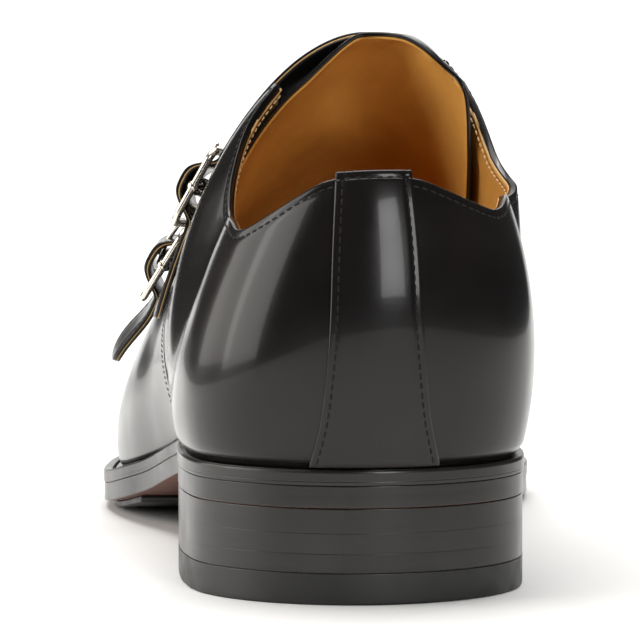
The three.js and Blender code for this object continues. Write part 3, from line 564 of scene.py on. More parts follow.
def top_edge(turn):
    """Share up each rib where the upper ends: at the collar or the slot, else at the ridge."""
    zero = np.zeros_like(turn)
    collar = halve(lambda up: last_point(turn, up)[..., 2] > collar_height(last_point(turn, up)), zero,
                   zero + 1)
    along = along_of(turn)
    slot = 1 - np.abs(np.where(turn < 0, slot_lateral(along), slot_medial(along)))
    slot = np.where(along < SLOT[0, 0], 1, np.where(along > SLOT[-1, 0], 1, slot))
    return np.minimum(collar, slot)


def low_edge(turn):
    """Share up each rib where the quarter starts: at the welt or at the seam over the vamp."""
    zero = np.zeros_like(turn)
    seam = halve(lambda up: ahead_of_seam(last_point(turn, up)) < 0, zero, zero + 1)
    return np.where(ahead_of_seam(last_point(turn, zero)) > 0, seam, 0)


def rib_speed(turn, up):
    """Length of rib for a whole share, at a place on it."""
    up = np.clip(up, STEP, 1 - STEP)
    return np.linalg.norm(last_point(turn, up + STEP) - last_point(turn, up - STEP), axis=-1) / (2 * STEP)


def front_tip(side):
    """Turn at which a quarter ends in front: where its top edge meets the seam, or the slot's end."""
    tries = turn_of(np.linspace(.3, SLOT[-1, 0] - .0001, 400))
    narrow = top_edge(side * tries) - low_edge(side * tries) < 0.012
    return side * tries[np.argmax(narrow) if narrow.any() else -1]


tips = [front_tip(-1), front_tip(1)]
print("front tips of the quarters, as shares of the length:", along_of(np.array(tips)).round(3))

# %% [markdown]
# A new shoe has few creases, but calf pulled over a last is never quite even. The soft troughs and
# ridges are listed one by one: each has a middle, a slant, a length, a width and a height on the shoe.

# %% Soft creases
CREASES = np.array([
    # along, across, slant, length, width, height in mm
    [.150, -.45, 1.6, .22, .016, -.28], [.205, -.50, 1.5, .20, .018, .20], [.265, -.55, 1.3, .20, .016, -.18],
    [.160, .50, 1.4, .22, .018, -.16], [.235, .55, 1.2, .22, .020, .14], [.330, -.86, .4, .10, .012, -.16],
    [.600, -.25, .25, .30, .012, -.28], [.640, .05, .1, .42, .010, -.36], [.675, .30, -.2, .26, .012, -.26],
    [.620, .0, .15, .40, .012, .22], [.660, -.1, .1, .36, .012, .20], [.560, .62, -.3, .2, .014, -.2]])


def foot_tuck(turn, up):
    """Depth by which the leather is pulled in just over the welt: 1 mm x exp(-(d / 1.5 mm)^2), where d
    is the distance up the rib."""
    return 1.0 * MM * np.exp(-(np.maximum(up, 0) * rib_speed(turn, 0 * turn) / (1.5 * MM)) ** 2)


def crease(along, across):
    """Sum of soft troughs: height x exp(-(d / width)^2) x exp(-(s / length)^2), where d is the distance
    from the crease's slanted line and s the distance along it."""
    total = np.zeros(np.broadcast(along, across).shape)
    for middle, side, slant, length, width, height in CREASES:
        d = (along - middle) - slant * (across - side) * 0.1
        total += height * MM * np.exp(-(d / width) ** 2 - ((across - side) / length) ** 2)
    return total


print("deepest crease in mm:", CREASES[:, 5].min())

# %% Quarters
TUCK = 0.3 * MM


def edge_rows(turn, low, top, outer, inner):
    """Loop of one leather piece on each rib: up its outer face, round its top edge, down its inner face
    and round its low edge. Rows are (distance from an edge, share of the wall); all are whole arrays."""
    rounding = [(0, .35), (0, .65), (.1, .88), (.3, 1), (.7, 1), (1.2, 1), (1.6, 1), (2.0, 1), (2.4, 1),
                (2.9, 1), (3.8, 1)]
    rounding = [(d * MM, w) for d, w in rounding]
    reach = 4.6 * MM
    low_speed, top_speed = rib_speed(turn, low), rib_speed(turn, top)
    room = np.minimum(1, (top - low) * (low_speed + top_speed) / 2 / (2.4 * reach))
    start, end = low + reach * room / low_speed, top - reach * room / top_speed
    ups, walls, pressed = [], [], []
    for d, w in rounding:
        ups.append(low + d * room / low_speed)
        walls.append(w + 0 * turn)
        pressed.append(d + 0 * turn)
    for share in np.linspace(0, 1, 44):
        ups.append(start + (end - start) * share)
        walls.append(1 + 0 * turn)
        pressed.append(9 * MM + 0 * turn)
    for d, w in rounding[::-1]:
        ups.append(top - d * room / top_speed)
        walls.append(w + 0 * turn)
        pressed.append(d + 0 * turn)
    up, wall, pressed = np.array(ups), np.array(walls), np.array(pressed)
    stitch = -0.13 * MM * np.exp(-((pressed - 2.0 * MM) / (0.45 * MM)) ** 2)
    front = inner(turn, up) + (outer - inner(turn, up)) * wall
    creased = crease(along_of(turn), np.where(turn < 0, up - 1, 1 - up)) * ease(up - low, 0, .08)
    front = front + stitch + creased
    front = front - foot_tuck(turn, up)
    inside_rows = np.r_[len(up) - 3:len(up) - 12:-1, len(up) - 14:11:-3, 10:1:-1]
    back = inner(turn, up[inside_rows])
    return (np.concatenate([up, up[inside_rows]]), np.concatenate([front, back]))


def quarter_inside(turn, up):
    """Inner face of the quarter: thick behind the vamp's edge, thin where it lies over the vamp."""
    behind = -ahead_of_seam(last_point(turn, up))
    return (0.04 - 0.92 * ease(behind, 0.0075, 0.0105)) * MM


turns = np.linspace(*tips, 420)
low, top = low_edge(turns), top_edge(turns)
low = np.where(low == 0, -TUCK / rib_speed(turns, low), low)
up, offset = edge_rows(turns, low, top, QUARTER, quarter_inside)
quarter_grid = skin(np.broadcast_to(turns, up.shape), up, offset)
solid_tube("quarters", quarter_grid.transpose(1, 0, 2), calf, ["upper"])

# %% [markdown]
# The vamp covers toe and instep. It runs a little way under the quarters, where the seam joins them.
# Its grid starts on that line and ends at the toe, where both sides fold together on the last rib.

# %% Vamp
def over_turn(across, turn, offset):
    """Point at a share across the last on the rib of a turn, its ends tucked down to the welt."""
    turn = turn * np.where(across < 0, -1, 1)
    return skin(turn, 1 - np.abs(across) * (1 + TUCK / rib_speed(turn, 0 * turn)), offset)


across = np.linspace(-1, 1, 161)
side = np.where(across < 0, -1, 1)
seam_turn = halve(lambda t: ahead_of_seam(last_point(t * side, 1 - np.abs(across))) > 0,
                  turn_of(.2) + 0 * across, turn_of(.62) + 0 * across)
tuck = 0.0065 * ease(np.abs(across), 0.1, 0.3) + 0.0008
vamp_start = turn_of(along_of(seam_turn) - tuck / SOLE_LENGTH)
share = np.linspace(0, 1, 150)[:, None]
turns_here = vamp_start + (1 - vamp_start) * share
vamp_offset = crease(along_of(turns_here), across) * ease(share, .02, .1) * ease(np.abs(across), 1, .94)
vamp_offset = vamp_offset - foot_tuck(turns_here * side, 1 - np.abs(across))
vamp_grid = over_turn(np.broadcast_to(across, turns_here.shape), turns_here, vamp_offset)
vamp = piece("vamp", vamp_grid, quads(*vamp_grid.shape[:2])[:, ::-1], calf, ["upper"],
             merge=2e-6)
wall = vamp.modifiers.new("leather", "SOLIDIFY")
wall.thickness, wall.offset = 0.9 * MM, -1

# %% [markdown]
# The lining is a second skin inside the first: soft tan leather, glued and stitched along the collar.
# Its cut edge stays a hair under the black one, which gives the thin tan line round the opening.

# %% Lining
RAW_EDGE = 0.9 * MM
turns = np.linspace(-1, 1, 401)
lining_top = top_edge(turns)
collar_part = lining_top < 0.999
lining_top = np.where(collar_part, lining_top - 0.3 * MM / rib_speed(turns, lining_top), 1)
raw_start = lining_top - np.where(collar_part, RAW_EDGE / rib_speed(turns, lining_top), .01)
up = np.vstack([raw_start * np.linspace(0.01, 1, 70)[:, None], lining_top])
lining_grid = skin(np.broadcast_to(turns, up.shape), up, -1.2 * MM + 0 * up)
lining = piece("lining", lining_grid, quads(*lining_grid.shape[:2])[:, ::-1], lining_tan,
               ["upper"], merge=2e-6)
lining.data.materials.append(raw_edge)
middles = np.zeros(len(lining.data.polygons) * 3)
lining.data.polygons.foreach_get("center", middles)
middles = middles.reshape(-1, 3)
top_row = quads(*lining_grid.shape[:2])[-(len(turns) - 1):]
row_middles = lining_grid.reshape(-1, 3)[top_row].mean(1)[(collar_part[:-1] & collar_part[1:])]
cut = np.array([np.abs(row_middles - m).sum(1).min() < 1e-5 for m in middles])
lining.data.polygons.foreach_set("material_index", cut.astype(np.int32))
print("raw edge faces:", int(cut.sum()))
wall = lining.modifiers.new("leather", "SOLIDIFY")
wall.thickness, wall.offset = 0.6 * MM, -1

# %% [markdown]
# The tongue lies inside, under the straps: black leather outside and tan lining inside, cut together at
# the rear. In the slot the foot pushes it up against the straps, so its rear edge is the top of the
# opening. Its rear edge is an arch that reaches low inside both quarters.

# %% Tongue
TONGUE_SIDES = np.array([[0, -.78, .64], [.5, -.55, .52], [1, -.36, .38]])
TONGUE_REAR = np.array([[-.78, .335], [-.5, .327], [-.36, .313], [-.2, .294], [0, .27], [.15, .272],
                        [.3, .295], [.45, .325], [.64, .362]])
TONGUE_FRONT = .52
tongue_lateral, tongue_medial = fair(TONGUE_SIDES[:, [0, 1]]), fair(TONGUE_SIDES[:, [0, 2]])
tongue_rear = fair(TONGUE_REAR)


def tongue_height(across, along):
    """Offset of the outer face: inside the upper, but raised in the slot up to the straps."""
    in_slot = ease(across - slot_lateral(along), .03, .28) * ease(slot_medial(along) - across, .01, .17)
    raised = TONGUE_RAISE * (1 - ease(along, .36, .42)) + TONGUE_LIP * (1 - ease(along, .27, .29))
    return -WALL - TONGUE_CLEAR + in_slot * raised


def tongue_point(share, step, depth):
    """Point at a share from the rear edge to the front and a step from side to side."""
    across = tongue_lateral(share) * (1 - step) + tongue_medial(share) * step
    along = tongue_rear(across) * (1 - share) + TONGUE_FRONT * share
    return over(across, along, tongue_height(across, along) - depth)


def tongue_sheet(name, high, low, finish):
    """Closed sheet between two depths whose edges are rounded: its half thickness follows a circle
    of radius 0.45 mm from the edge inwards."""
    share = np.r_[0, .0008, .003, .007, np.linspace(.012, .985, 60), .993, .998, 1][:, None]
    step = np.r_[0, .0006, .0014, .003, np.linspace(.008, .992, 90), .997, .9986, .9994, 1]
    inward = np.minimum(np.minimum(share, 1 - share) * 75, np.minimum(step, 1 - step) * 150) / .45
    full = .3 + .7 * np.sqrt(1 - (1 - np.minimum(inward, 1)) ** 2)
    middle, half = (high + low) / 2, (low - high) / 2
    front, back = (tongue_point(share, step, middle + s * half * full) for s in (-1, 1))
    return solid_tube(name, np.concatenate([front, back[:, ::-1]], 1), finish, ["tongue"])


LEATHER_DEPTH = 0.95 * MM
tongue_sheet("tongue_leather", 0, LEATHER_DEPTH, calf)
tongue_sheet("tongue_lining", LEATHER_DEPTH + .02 * MM, TONGUE, lining_tan)

# %% [markdown]
# The back strip covers the seam at the heel. It narrows upwards and carries a row of stitches inside
# each edge and one along its top, and the thread pulls the leather down a little in a line.

# %% Back strip
STRIP_WIDTHS = np.array([[0, 1], [.15, .84], [.4, .72], [.7, .65], [1, .56]])
strip_width = fair(STRIP_WIDTHS)
strip_top = float(halve(lambda up: last_point(0.0, up)[..., 2] > SEAT + WELT_TOP + COLLAR_BACK, 0.0, 1.0))


def turn_at_side(x, up):
    """Turn at which the back of the heel reaches a distance from the middle plane."""
    reach = np.full(np.shape(up), .25)
    return halve(lambda turn: last_point(turn, up)[..., 0] > x, -reach, reach)


STITCH_INSET = 1.5 * MM
rows = np.r_[np.linspace(0.004, .955, 70), np.linspace(.96, .995, 14), 1.0, 1.004, 1.006]
columns = np.r_[-1, -1, -.985, np.linspace(-.96, .96, 49), .985, 1, 1]
half = strip_width(rows)[:, None] * STRIP_WIDTH / 2
x = half * columns
heights = np.broadcast_to((rows * strip_top)[:, None], x.shape)
strip_turn = turn_at_side(x, heights)
from_edge = half - np.abs(x)
from_top = (1 - rows[:, None]) * 0.06
thick = np.where(from_edge < 1e-6, .55, np.where(from_edge < .2 * MM, .85, 1.0)) * 1.1 * MM
thick[:, [0, -1]] = 0.1 * MM
thick = np.minimum(thick,
                   np.where(rows[:, None] > 1.005, .35, np.where(rows[:, None] > 1.003, .8, 1)) * 1.1 * MM)
groove = (np.exp(-((from_edge - STITCH_INSET) / (.4 * MM)) ** 2)
          + np.exp(-((from_top - 1.6 * MM) / (.4 * MM)) ** 2))
outer = QUARTER + 0.02 * MM + thick - 0.16 * MM * np.minimum(groove, 1) * (thick > 0.9 * MM)
front = skin(strip_turn, heights, outer)
back = skin(strip_turn, heights, np.full(x.shape, QUARTER + 0.02 * MM))
solid_tube("back_strip_leather", np.concatenate([front, back[:, ::-1]], 1), calf,
           ["back_strip"])

# %% [markdown]
# # Sole and heel
# Each layer is cut to the outline with a knife and trimmed. We carry the trimmed edge's section round
# the outline: pairs of (distance in from the outline, height). A full layer is a loop across the shoe
# at each station, from one edge over the top to the other edge and back underneath.

# %% Layers of the sole
def guarded(rows):
    """Rows of a section with two more on each long stretch, near its ends, so that its flat part
    stays flat to the eye and only the small steps turn the light."""
    rows = np.asarray(rows, float)
    full = [rows[:1]]
    for a, b in zip(rows[:-1], rows[1:]):
        step = np.linalg.norm(b - a)
        near = min(.12 / step, .4) if step > .4 else 0
        full += [a + (b - a) * near, a + (b - a) * (1 - near), b] if near else [b]
    return np.vstack(full)


def edge_section(*pairs):
    """Section of a trimmed edge from its low inner end to its high inner end, in millimetres."""
    return guarded(pairs) * MM


def sole_layer(name, section, finish, slot, stands_for, start=0.0, end=1.0, level=False, hollow=0.0,
               stations=300, bottom=0.0):
    """Full layer: loops from side to side at each station. level keeps heights from the ground,
    otherwise they are over the underside. hollow curves the front end back in its middle."""
    turns = np.linspace(turn_of(start), turn_of(end), stations)[:, None]
    depth, height = section[:, 0], section[:, 1]
    sides = []
    for s in (-1, 1):
        p = outline(s * turns, np.broadcast_to(depth, (stations, len(depth))))
        base = 0 * p[..., 1] if level else underside(p[..., 1])
        sides.append(np.concatenate([p, (base + height)[..., None]], -1))
    lateral, medial = sides
    share = np.linspace(0, 1, 14)[1:-1][None, :, None]
    top = lateral[:, -1:] * (1 - share) + medial[:, -1:] * share
    low = medial[:, :1] * (1 - share) + lateral[:, :1] * share
    bend = hollow * (1 - (2 * share[..., 0] - 1) ** 2) * ease(turns, turns[-1] - .1, turns[-1])
    top[..., 1] -= bend
    low[..., 1] -= bend
    loops = np.concatenate([lateral, top, medial[:, ::-1], low], 1)
    return solid_tube(name, loops, finish, stands_for, merge=1e-6)


HEEL = dict(end=HEEL_LENGTH / SOLE_LENGTH, level=True, hollow=BREAST_HOLLOW, stations=120)
TOP_LINES = edge_section((.9, 0), (.45, .12), (.32, .4), (.30, .9), (.30, 6.3), (.34, 6.42), (.5, 6.46),
                         (.8, 6.46))
sole_layer("heel_rubber", TOP_LINES, rubber, "rubber", ["heel_top_piece"], **HEEL)
LIFT_LINES = edge_section((.9, 6.5), (.5, 6.5), (.36, 6.54), (.32, 6.66), (.32, 10.4), (.34, 10.46),
                          (.32, 10.52),
                          (.32, 14.6), (.34, 14.66), (.32, 14.72), (.32, 19.5), (.35, 19.6), (.5, 19.66),
                          (.9, 19.66))
sole_layer("heel_lifts", LIFT_LINES, heel_edge, "heel_leather", ["heel_stack"], **HEEL)
SOLE_LINES = edge_section((3.0, -.06), (.8, -.06), (.4, -.03), (.24, .06), (.2, .2), (.2, 4.36),
                          (.24, 4.46), (.7, 4.5))
outsole = sole_layer("outsole_leather", SOLE_LINES, welt_edge, "sole_leather", ["outsole"])
outsole.data.materials.append(sole_stain)
facing = np.zeros(len(outsole.data.polygons) * 3)
outsole.data.polygons.foreach_get("normal", facing)
outsole.data.polygons.foreach_set("material_index", (facing[2::3] < -.8).astype(np.int32))
GUARD_LINES = edge_section((3.9, -1.7), (3.2, -1.66), (3.0, -1.45), (3.0, -.3), (3.15, -.1))
sole_layer("forefoot_rubber", GUARD_LINES, rubber, "rubber", ["sole_guard"], start=.47, end=.95, stations=160)

# %% [markdown]
# The welt runs all round: a strip with a rounded lip, a trimmed line round its edge and, in front of
# the heel, a channel with the stitches that hold the outsole.

# %% Welt
turns = np.linspace(-1, 1, 801)[:-1]
foot_line = margin(turns) * WELT_MARGIN
channel = ease(foot_line, 2.6 * MM, 4.4 * MM)
WELT_SECTION = [(0, .9, 4.52, 0), (0, .24, 4.54, 0), (0, .04, 4.64, 0), (0, 0, 5.3, 0), (0, .05, 5.38, 0),
                (0, 0, 5.46, 0),
                (0, 0, 7.1, 0), (0, .05, 7.4, 0), (0, .22, 7.62, 0), (0, .5, 7.72, 0), (.3, 0, 7.75, 0),
                (.38, 0, 7.74, -.06),
                (.44, 0, 7.74, -.22), (.5, 0, 7.74, -.28), (.56, 0, 7.74, -.22), (.62, 0, 7.74, -.06),
                (.7, 0, 7.75, 0),
                (1, .4, 7.75, 0), (1, 1.7, 7.75, 0), (1, 1.7, 4.5, 0)]
loops = []
for share, depth, height, press in guarded(WELT_SECTION):
    p = outline(turns, share * foot_line + depth * MM)
    z = underside(p[:, 1]) + (height + press * channel) * MM
    loops.append(np.concatenate([p, z[:, None]], 1))
solid_tube("welt_strip", np.stack(loops, 1), welt_edge, ["welt"], closed=True)

# %% [markdown]
# Under the foot lies the insole with a tan sock. It is a plain layer, a little crowned at its edge.

# %% Insole
def insole_layer():
    """Layer inside the welt: insets follow the feather line, so the section is worked out per station."""
    stations = 240
    turns = np.linspace(0, 1, stations)[:, None]
    inside = margin(turns) * WELT_MARGIN + WALL + 2 * GAP
    depth, height = np.array([.5, 0, 0, .5]) * MM, np.array([4.6, 4.8, 8.5, 8.8]) * MM
    sides = []
    for s in (-1, 1):
        p = outline(s * turns, inside + depth)
        sides.append(np.concatenate([p, (underside(p[..., 1]) + height)[..., None]], -1))
    lateral, medial = sides
    share = np.linspace(0, 1, 14)[1:-1][None, :, None]
    top = lateral[:, -1:] * (1 - share) + medial[:, -1:] * share
    low = medial[:, :1] * (1 - share) + lateral[:, :1] * share
    return np.concatenate([lateral, top, medial[:, ::-1], low], 1)


solid_tube("insole_sock", insole_layer(), lining_tan, ["insole"], merge=1e-6)

# %% [markdown]
# # Straps and buckles
# Each strap is two layers of leather with a raw tan line between them at the edge. It comes from the
# inner side over the instep, goes under the buckle's frame, humps over its bar and ends free. The strap
# stays flat across and square to its own way, so we work out three directions at each place on it.

# %% Routes of the straps
TOP_ROUTE = np.array([[.46, .402], [.2, .394], [0, .391], [-.3, .394], [-.5, .4], [-.7, .412]])
LOWER_ROUTE = np.array([[.46, .474], [.2, .47], [0, .469], [-.3, .472], [-.5, .48], [-.74, .5]])
STRAPS = {"top": (TOP_ROUTE, -.46, 0.3 * MM), "lower": (LOWER_ROUTE, -.52, 4.0 * MM)}
LOOP_INSIDE = BAR * np.sqrt(.5) + GAP
LOOP_OUTSIDE = LOOP_INSIDE + 0.6 * MM
HUMP = BUCKLE_LIFT + LOOP_OUTSIDE + 0.6 * MM
HUMP_REACH = BUCKLE_LENGTH / 2 - WIRE - GAP
HUMP_FULLNESS = 1.6


def on_route(route, across):
    """Point on the strap's seat with its directions: sideways, and outwards from the last."""
    line = fair(np.stack([-route[:, 0], route[:, 1]], 1))

    def rib(a):
        want = length_of(line(-a))
        return halve(lambda along: over(a, along, 0 * a)[..., 1] > want, 0 * a, 0 * a + 1)

    across = np.asarray(across, float)
    along = rib(across)
    turn = turn_of(along) * np.where(across < 0, -1, 1)
    normal = skin_normal(turn, 1 - np.abs(across))
    above, below = (over(across + d, rib(across + d), 0 * across) for d in (STEP, -STEP))
    sideways = np.cross(below - above, normal)
    sideways /= np.linalg.norm(sideways, axis=-1, keepdims=True)
    return over(across, along, STRAP_BASE + 0 * across), sideways, normal


def strap_way(route, bar, stand_off, count=300):
    """Places along a strap with its height over the seat: HUMP cos^2(pi/2 |d/reach|^fullness) over the
    bar, where d is the distance from it, then a slow rise of the free end."""
    across = np.linspace(route[0, 0], route[-1, 0], count)
    point, sideways, normal = on_route(route, across)
    length = np.r_[0, np.cumsum(np.linalg.norm(np.diff(point, axis=0), axis=1))]
    away = length - np.interp(-bar, -across, length)
    share = np.minimum(np.abs(away) / HUMP_REACH, 1)
    hump = HUMP * np.cos(np.pi / 2 * share ** HUMP_FULLNESS) ** 2
    lift = hump + stand_off * ease(away, BUCKLE_LENGTH / 2, away[-1])
    end = np.minimum(length, length[-1] - length)
    taper = np.minimum((end + GAP) / STRAP_WIDTH, 1)
    half = STRAP_WIDTH / 2 * np.sqrt(1 - (1 - taper) ** 4)
    return point, sideways, normal, lift, half, length


def strap_section(low, high, grow):
    """Rounded section of one layer: (share of the half width, change of width, height)."""
    r = 0.28 * MM
    side = np.array([[-r, low], [-.3 * r, low + .3 * r], [0, low + r], [0, high - r],
                     [-.3 * r, high - .3 * r], [-r, high]])
    side[:, 0] += grow
    return side


def strap_layer(name, way, low, high, grow, finish, stands_for):
    """Strap layer: the section, mirrored to both edges, at each place of the way."""
    point, sideways, normal, lift, half, length = way
    side = strap_section(low, high, grow)
    across = np.linspace(.94, -.94, 15)
    press = -0.12 * MM * np.exp(-((np.abs(across) - .8) / .05) ** 2)
    shares = np.concatenate([np.ones(6), across, -np.ones(6)])
    change = np.concatenate([side[:, 0], 0 * across, side[::-1, 0]])
    heights = np.concatenate([side[:, 1], high + press, side[::-1, 1]])
    flat = np.maximum(half[:, None] * np.abs(shares) + change, 0.1 * MM) * np.sign(shares)
    loops = (point[:, None] + sideways[:, None] * flat[..., None]
             + normal[:, None] * (heights + lift[:, None])[..., None])
    return solid_tube(name, loops, finish, stands_for)


ways = {}
for name, (route, bar, stand_off) in STRAPS.items():
    ways[name] = strap_way(route, bar, stand_off)
    strap_layer(f"strap_{name}_leather", ways[name], 0.86 * MM, STRAP, 0.0, strap_calf, [f"strap_{name}"])
    strap_layer(f"strap_{name}_core", ways[name], 0.62 * MM, 0.9 * MM, -0.04 * MM, raw_edge,
                [f"strap_{name}"])
    strap_layer(f"strap_{name}_backing", ways[name], 0.0, 0.66 * MM, 0.0, strap_calf, [f"strap_{name}"])
print("strap lengths in mm:", [round(1000 * way[5][-1], 1) for way in ways.values()])

# %% [markdown]
# The buckles are cast frames of round wire with a bar across the middle and a small knob where the bar
# meets each side. A leather tab holds the bar, and the prong turns on it and rests on the upper rail.
# Everything on a buckle is made in its own directions: forward along the bar, down the strap, outwards.

# %% Buckle helpers
def gather(parts):
    """One set of points and faces from several closed ones, each turned to face outwards."""
    points, faces, start = [], [], 0
    for p, f in parts:
        if volume_sign(p, f) < 0:
            f = [g[::-1] for g in f]
        points.append(p)
        faces += [[i + start for i in g] for g in f]
        start += len(p)
    return np.concatenate(points), faces


def buckle_place(route, bar):
    """Matrix columns (forward, down the strap, outwards) and the middle of the bar."""
    point, sideways, normal = (v[0] for v in on_route(route, np.array([bar])))
    down = np.cross(normal, sideways)
    return np.stack([sideways, down, normal]), point + normal * BUCKLE_LIFT


def placed(points, spot):
    """Points from the buckle's directions to the shoe's."""
    turn, origin = spot
    return np.asarray(points) @ turn + origin


def pipe(path, radius, around=16, closed=False, flatten=1.0):
    """Round section carried along a path. At each place the section lies square to the path;
    radius may change along it."""
    path = np.asarray(path, float)
    ahead = np.roll(path, -1, 0) - np.roll(path, 1, 0) if closed else np.gradient(path, axis=0)
    ahead /= np.linalg.norm(ahead, axis=1, keepdims=True)
    keep = np.array([1.0, 0, 0]) if np.ptp(path[:, 0]) < 1e-6 else np.array([0, 0, 1.0])
    first = np.cross(ahead, keep)
    first /= np.linalg.norm(first, axis=1, keepdims=True)
    second = np.cross(ahead, first)
    a = np.linspace(0, 2 * np.pi, around, endpoint=False)
    radius = np.broadcast_to(radius, len(path))[:, None, None]
    ring = (first[:, None] * np.cos(a)[None, :, None]
            + flatten * second[:, None] * np.sin(a)[None, :, None])
    return path[:, None] + radius * ring


def rounded_rectangle(width, length, radius, corner=10):
    """Closed path round a rectangle in the plane of the frame."""
    a = np.linspace(0, np.pi / 2, corner)
    corners = []
    for i, (sx, sy) in enumerate([(1, 1), (-1, 1), (-1, -1), (1, -1)]):
        t = a + i * np.pi / 2
        corners.append(np.stack([sx * (width / 2 - radius) + radius * np.cos(t),
                                 sy * (length / 2 - radius) + radius * np.sin(t), 0 * t], 1))
    return np.concatenate(corners)


def knob(x, radius, width):
    """Round knob on the bar: circles whose radius follows a half ellipse."""
    t = np.linspace(-1, 1, 11)
    a = np.linspace(0, 2 * np.pi, 18, endpoint=False)
    r = radius * np.sqrt(np.maximum(1 - t ** 2, 0.02))
    return np.stack([np.broadcast_to((x + width * t)[:, None], (11, 18)), r[:, None] * np.cos(a),
                     r[:, None] * np.sin(a)], -1)


def band(path, thick, x0, x1):
    """Leather band bent along a path in the plane square to the bar, x0 to x1 wide, edges rounded."""
    path = np.asarray(path, float)
    ahead = np.gradient(path, axis=0)
    ahead /= np.linalg.norm(ahead, axis=1, keepdims=True)
    side = np.stack([-ahead[:, 1], ahead[:, 0]], 1)
    r = thick * .3
    loops = []
    for x, t in ((x0, thick / 2 - r), (x0 + r * .4, thick / 2 - r * .3), (x0 + r, thick / 2),
                 (x1 - r, thick / 2), (x1 - r * .4, thick / 2 - r * .3), (x1, thick / 2 - r)):
        flat = np.concatenate([path + side * t, (path - side * t)[::-1]])
        loops.append(np.concatenate([np.full((len(flat), 1), x), flat], 1))
    return np.array(loops)


print("points round a buckle:", len(rounded_rectangle(1, 1, .1)))

# %% Buckles, tabs and prongs
def tab_path():
    """Loop round the bar that comes together below it and spreads on the quarter."""
    middle = (LOOP_INSIDE + LOOP_OUTSIDE) / 2
    a = np.radians(np.linspace(-72, 252, 40))
    circle = np.stack([middle * np.cos(a), middle * np.sin(a)], 1)
    low = -BUCKLE_LIFT
    foot = np.array([[LOOP_OUTSIDE, low + .3 * MM], [1.3 * MM, low + .34 * MM], [.6 * MM, low + .7 * MM],
                     [.40 * MM, low + 1.2 * MM]])
    return np.concatenate([foot, circle, foot[::-1] * [-1, 1]])


def buckle_pieces(name, route, bar):
    """Frame, bar and knobs; the tab's two loops; the prong's ring and pin."""
    spot = buckle_place(route, bar)
    rail = rounded_rectangle(BUCKLE_WIDTH - WIRE, BUCKLE_LENGTH - WIRE, 2.9 * MM)
    inside = BUCKLE_WIDTH / 2 - WIRE * .5
    bar_way = np.stack([np.linspace(-inside, inside, 12), np.zeros(12), np.zeros(12)], 1)
    parts = [tube(pipe(rail, WIRE / 2, 18, True, .92), closed=True), tube(pipe(bar_way, BAR / 2, 16))]
    parts += [tube(knob(s * (inside - .1 * MM), 1.42 * MM, 1.15 * MM)) for s in (-1, 1)]
    points, faces = gather(parts)
    piece(f"buckle_{name}_frame", placed(points, spot), faces, silver, [f"buckle_{name}"])
    start = PRONG / 2 + GAP
    end = start + 4.4 * MM
    points, faces = gather([tube(band(tab_path(), .6 * MM, a, b)) for a, b in ((start, end), (-end, -start))])
    piece(f"tab_{name}_leather", placed(points, spot), faces, strap_calf, [f"tab_{name}"])
    a = np.linspace(0, 2 * np.pi, 33)[:-1]
    middle = LOOP_INSIDE + .42 * MM
    ring = np.stack([0 * a, middle * np.cos(a), middle * np.sin(a)], 1)
    root = np.array([0, 0, LOOP_INSIDE + .7 * MM])
    tip = np.array([0, -(BUCKLE_LENGTH - WIRE) / 2 - PRONG, WIRE / 2 + GAP + PRONG * .42])
    t = np.r_[0, np.linspace(.02, .93, 20), .96, .985, .998, 1.0][:, None]
    pin = root * (1 - t) + tip * t + np.array([0, 0, .35 * MM]) * np.sin(np.pi * t)
    size = np.interp(t[:, 0], [0, .1, .9, .96, .985, .998, 1],
                     np.array([.6, .72, .5, .44, .3, .14, .02]) * MM)
    points, faces = gather([tube(pipe(ring, .42 * MM, 12, True), closed=True), tube(pipe(pin, size, 14))])
    piece(f"prong_{name}_pin", placed(points, spot), faces, silver, [f"prong_{name}"])
    return spot


spots = {name: buckle_pieces(name, route, bar) for name, (route, bar, _) in STRAPS.items()}
print("middles of the bars:", {name: spot[1].round(4).tolist() for name, spot in spots.items()})

# %% [markdown]
# # Stitches
# Stitches are what make leather pieces read as sewn. One stitch is a small tapered bead of thread; it
# is repeated along a line on the last, at the pitch of the real seam, and each one lies along the line
# and half sunk into the groove that was pressed for it.

# %% Stitch rows
def stitch_row(path, normals, length=1.5 * MM, gap=.45 * MM, radius=.26 * MM, slant=0.0):
    """Beads along a path: bead i is centred at (i + 1/2) pitch, its thickness falls to its ends, and it
    lies along the path, turned by slant."""
    step = np.r_[0, np.cumsum(np.linalg.norm(np.diff(path, axis=0), axis=1))]
    count = max(int(step[-1] / (length + gap)), 1)
    at = (np.arange(count) + .5) * step[-1] / count
    pick = lambda values, s: np.stack([np.interp(s, step, values[:, i]) for i in range(3)], 1)
    middle, normal = pick(path, at), pick(normals, at)
    along = pick(path, at + length / 2) - pick(path, at - length / 2)
    along /= np.linalg.norm(along, axis=1, keepdims=True)
    side = np.cross(along, normal)
    side /= np.linalg.norm(side, axis=1, keepdims=True)
    along = along + side * slant
    along /= np.linalg.norm(along, axis=1, keepdims=True)
    t = np.array([-1, -.8, -.3, .3, .8, 1])
    size = np.array([.25, .75, 1, 1, .75, .25]) * radius
    a = np.linspace(0, 2 * np.pi, 6, endpoint=False)
    sink = -radius * .15 * (1 + 1.5 * t ** 2)
    bead = (middle[:, None, None] + along[:, None, None] * (t * length / 2)[None, :, None, None]
            + side[:, None, None] * (size[:, None] * np.cos(a))[None, ..., None]
            + normal[:, None, None] * (sink[:, None] + .8 * size[:, None] * np.sin(a))[None, ..., None])
    _, faces = tube(bead[0])
    all_faces = [[i + k * 36 for i in f] for k in range(count) for f in faces]
    return bead.reshape(-1, 3), all_faces


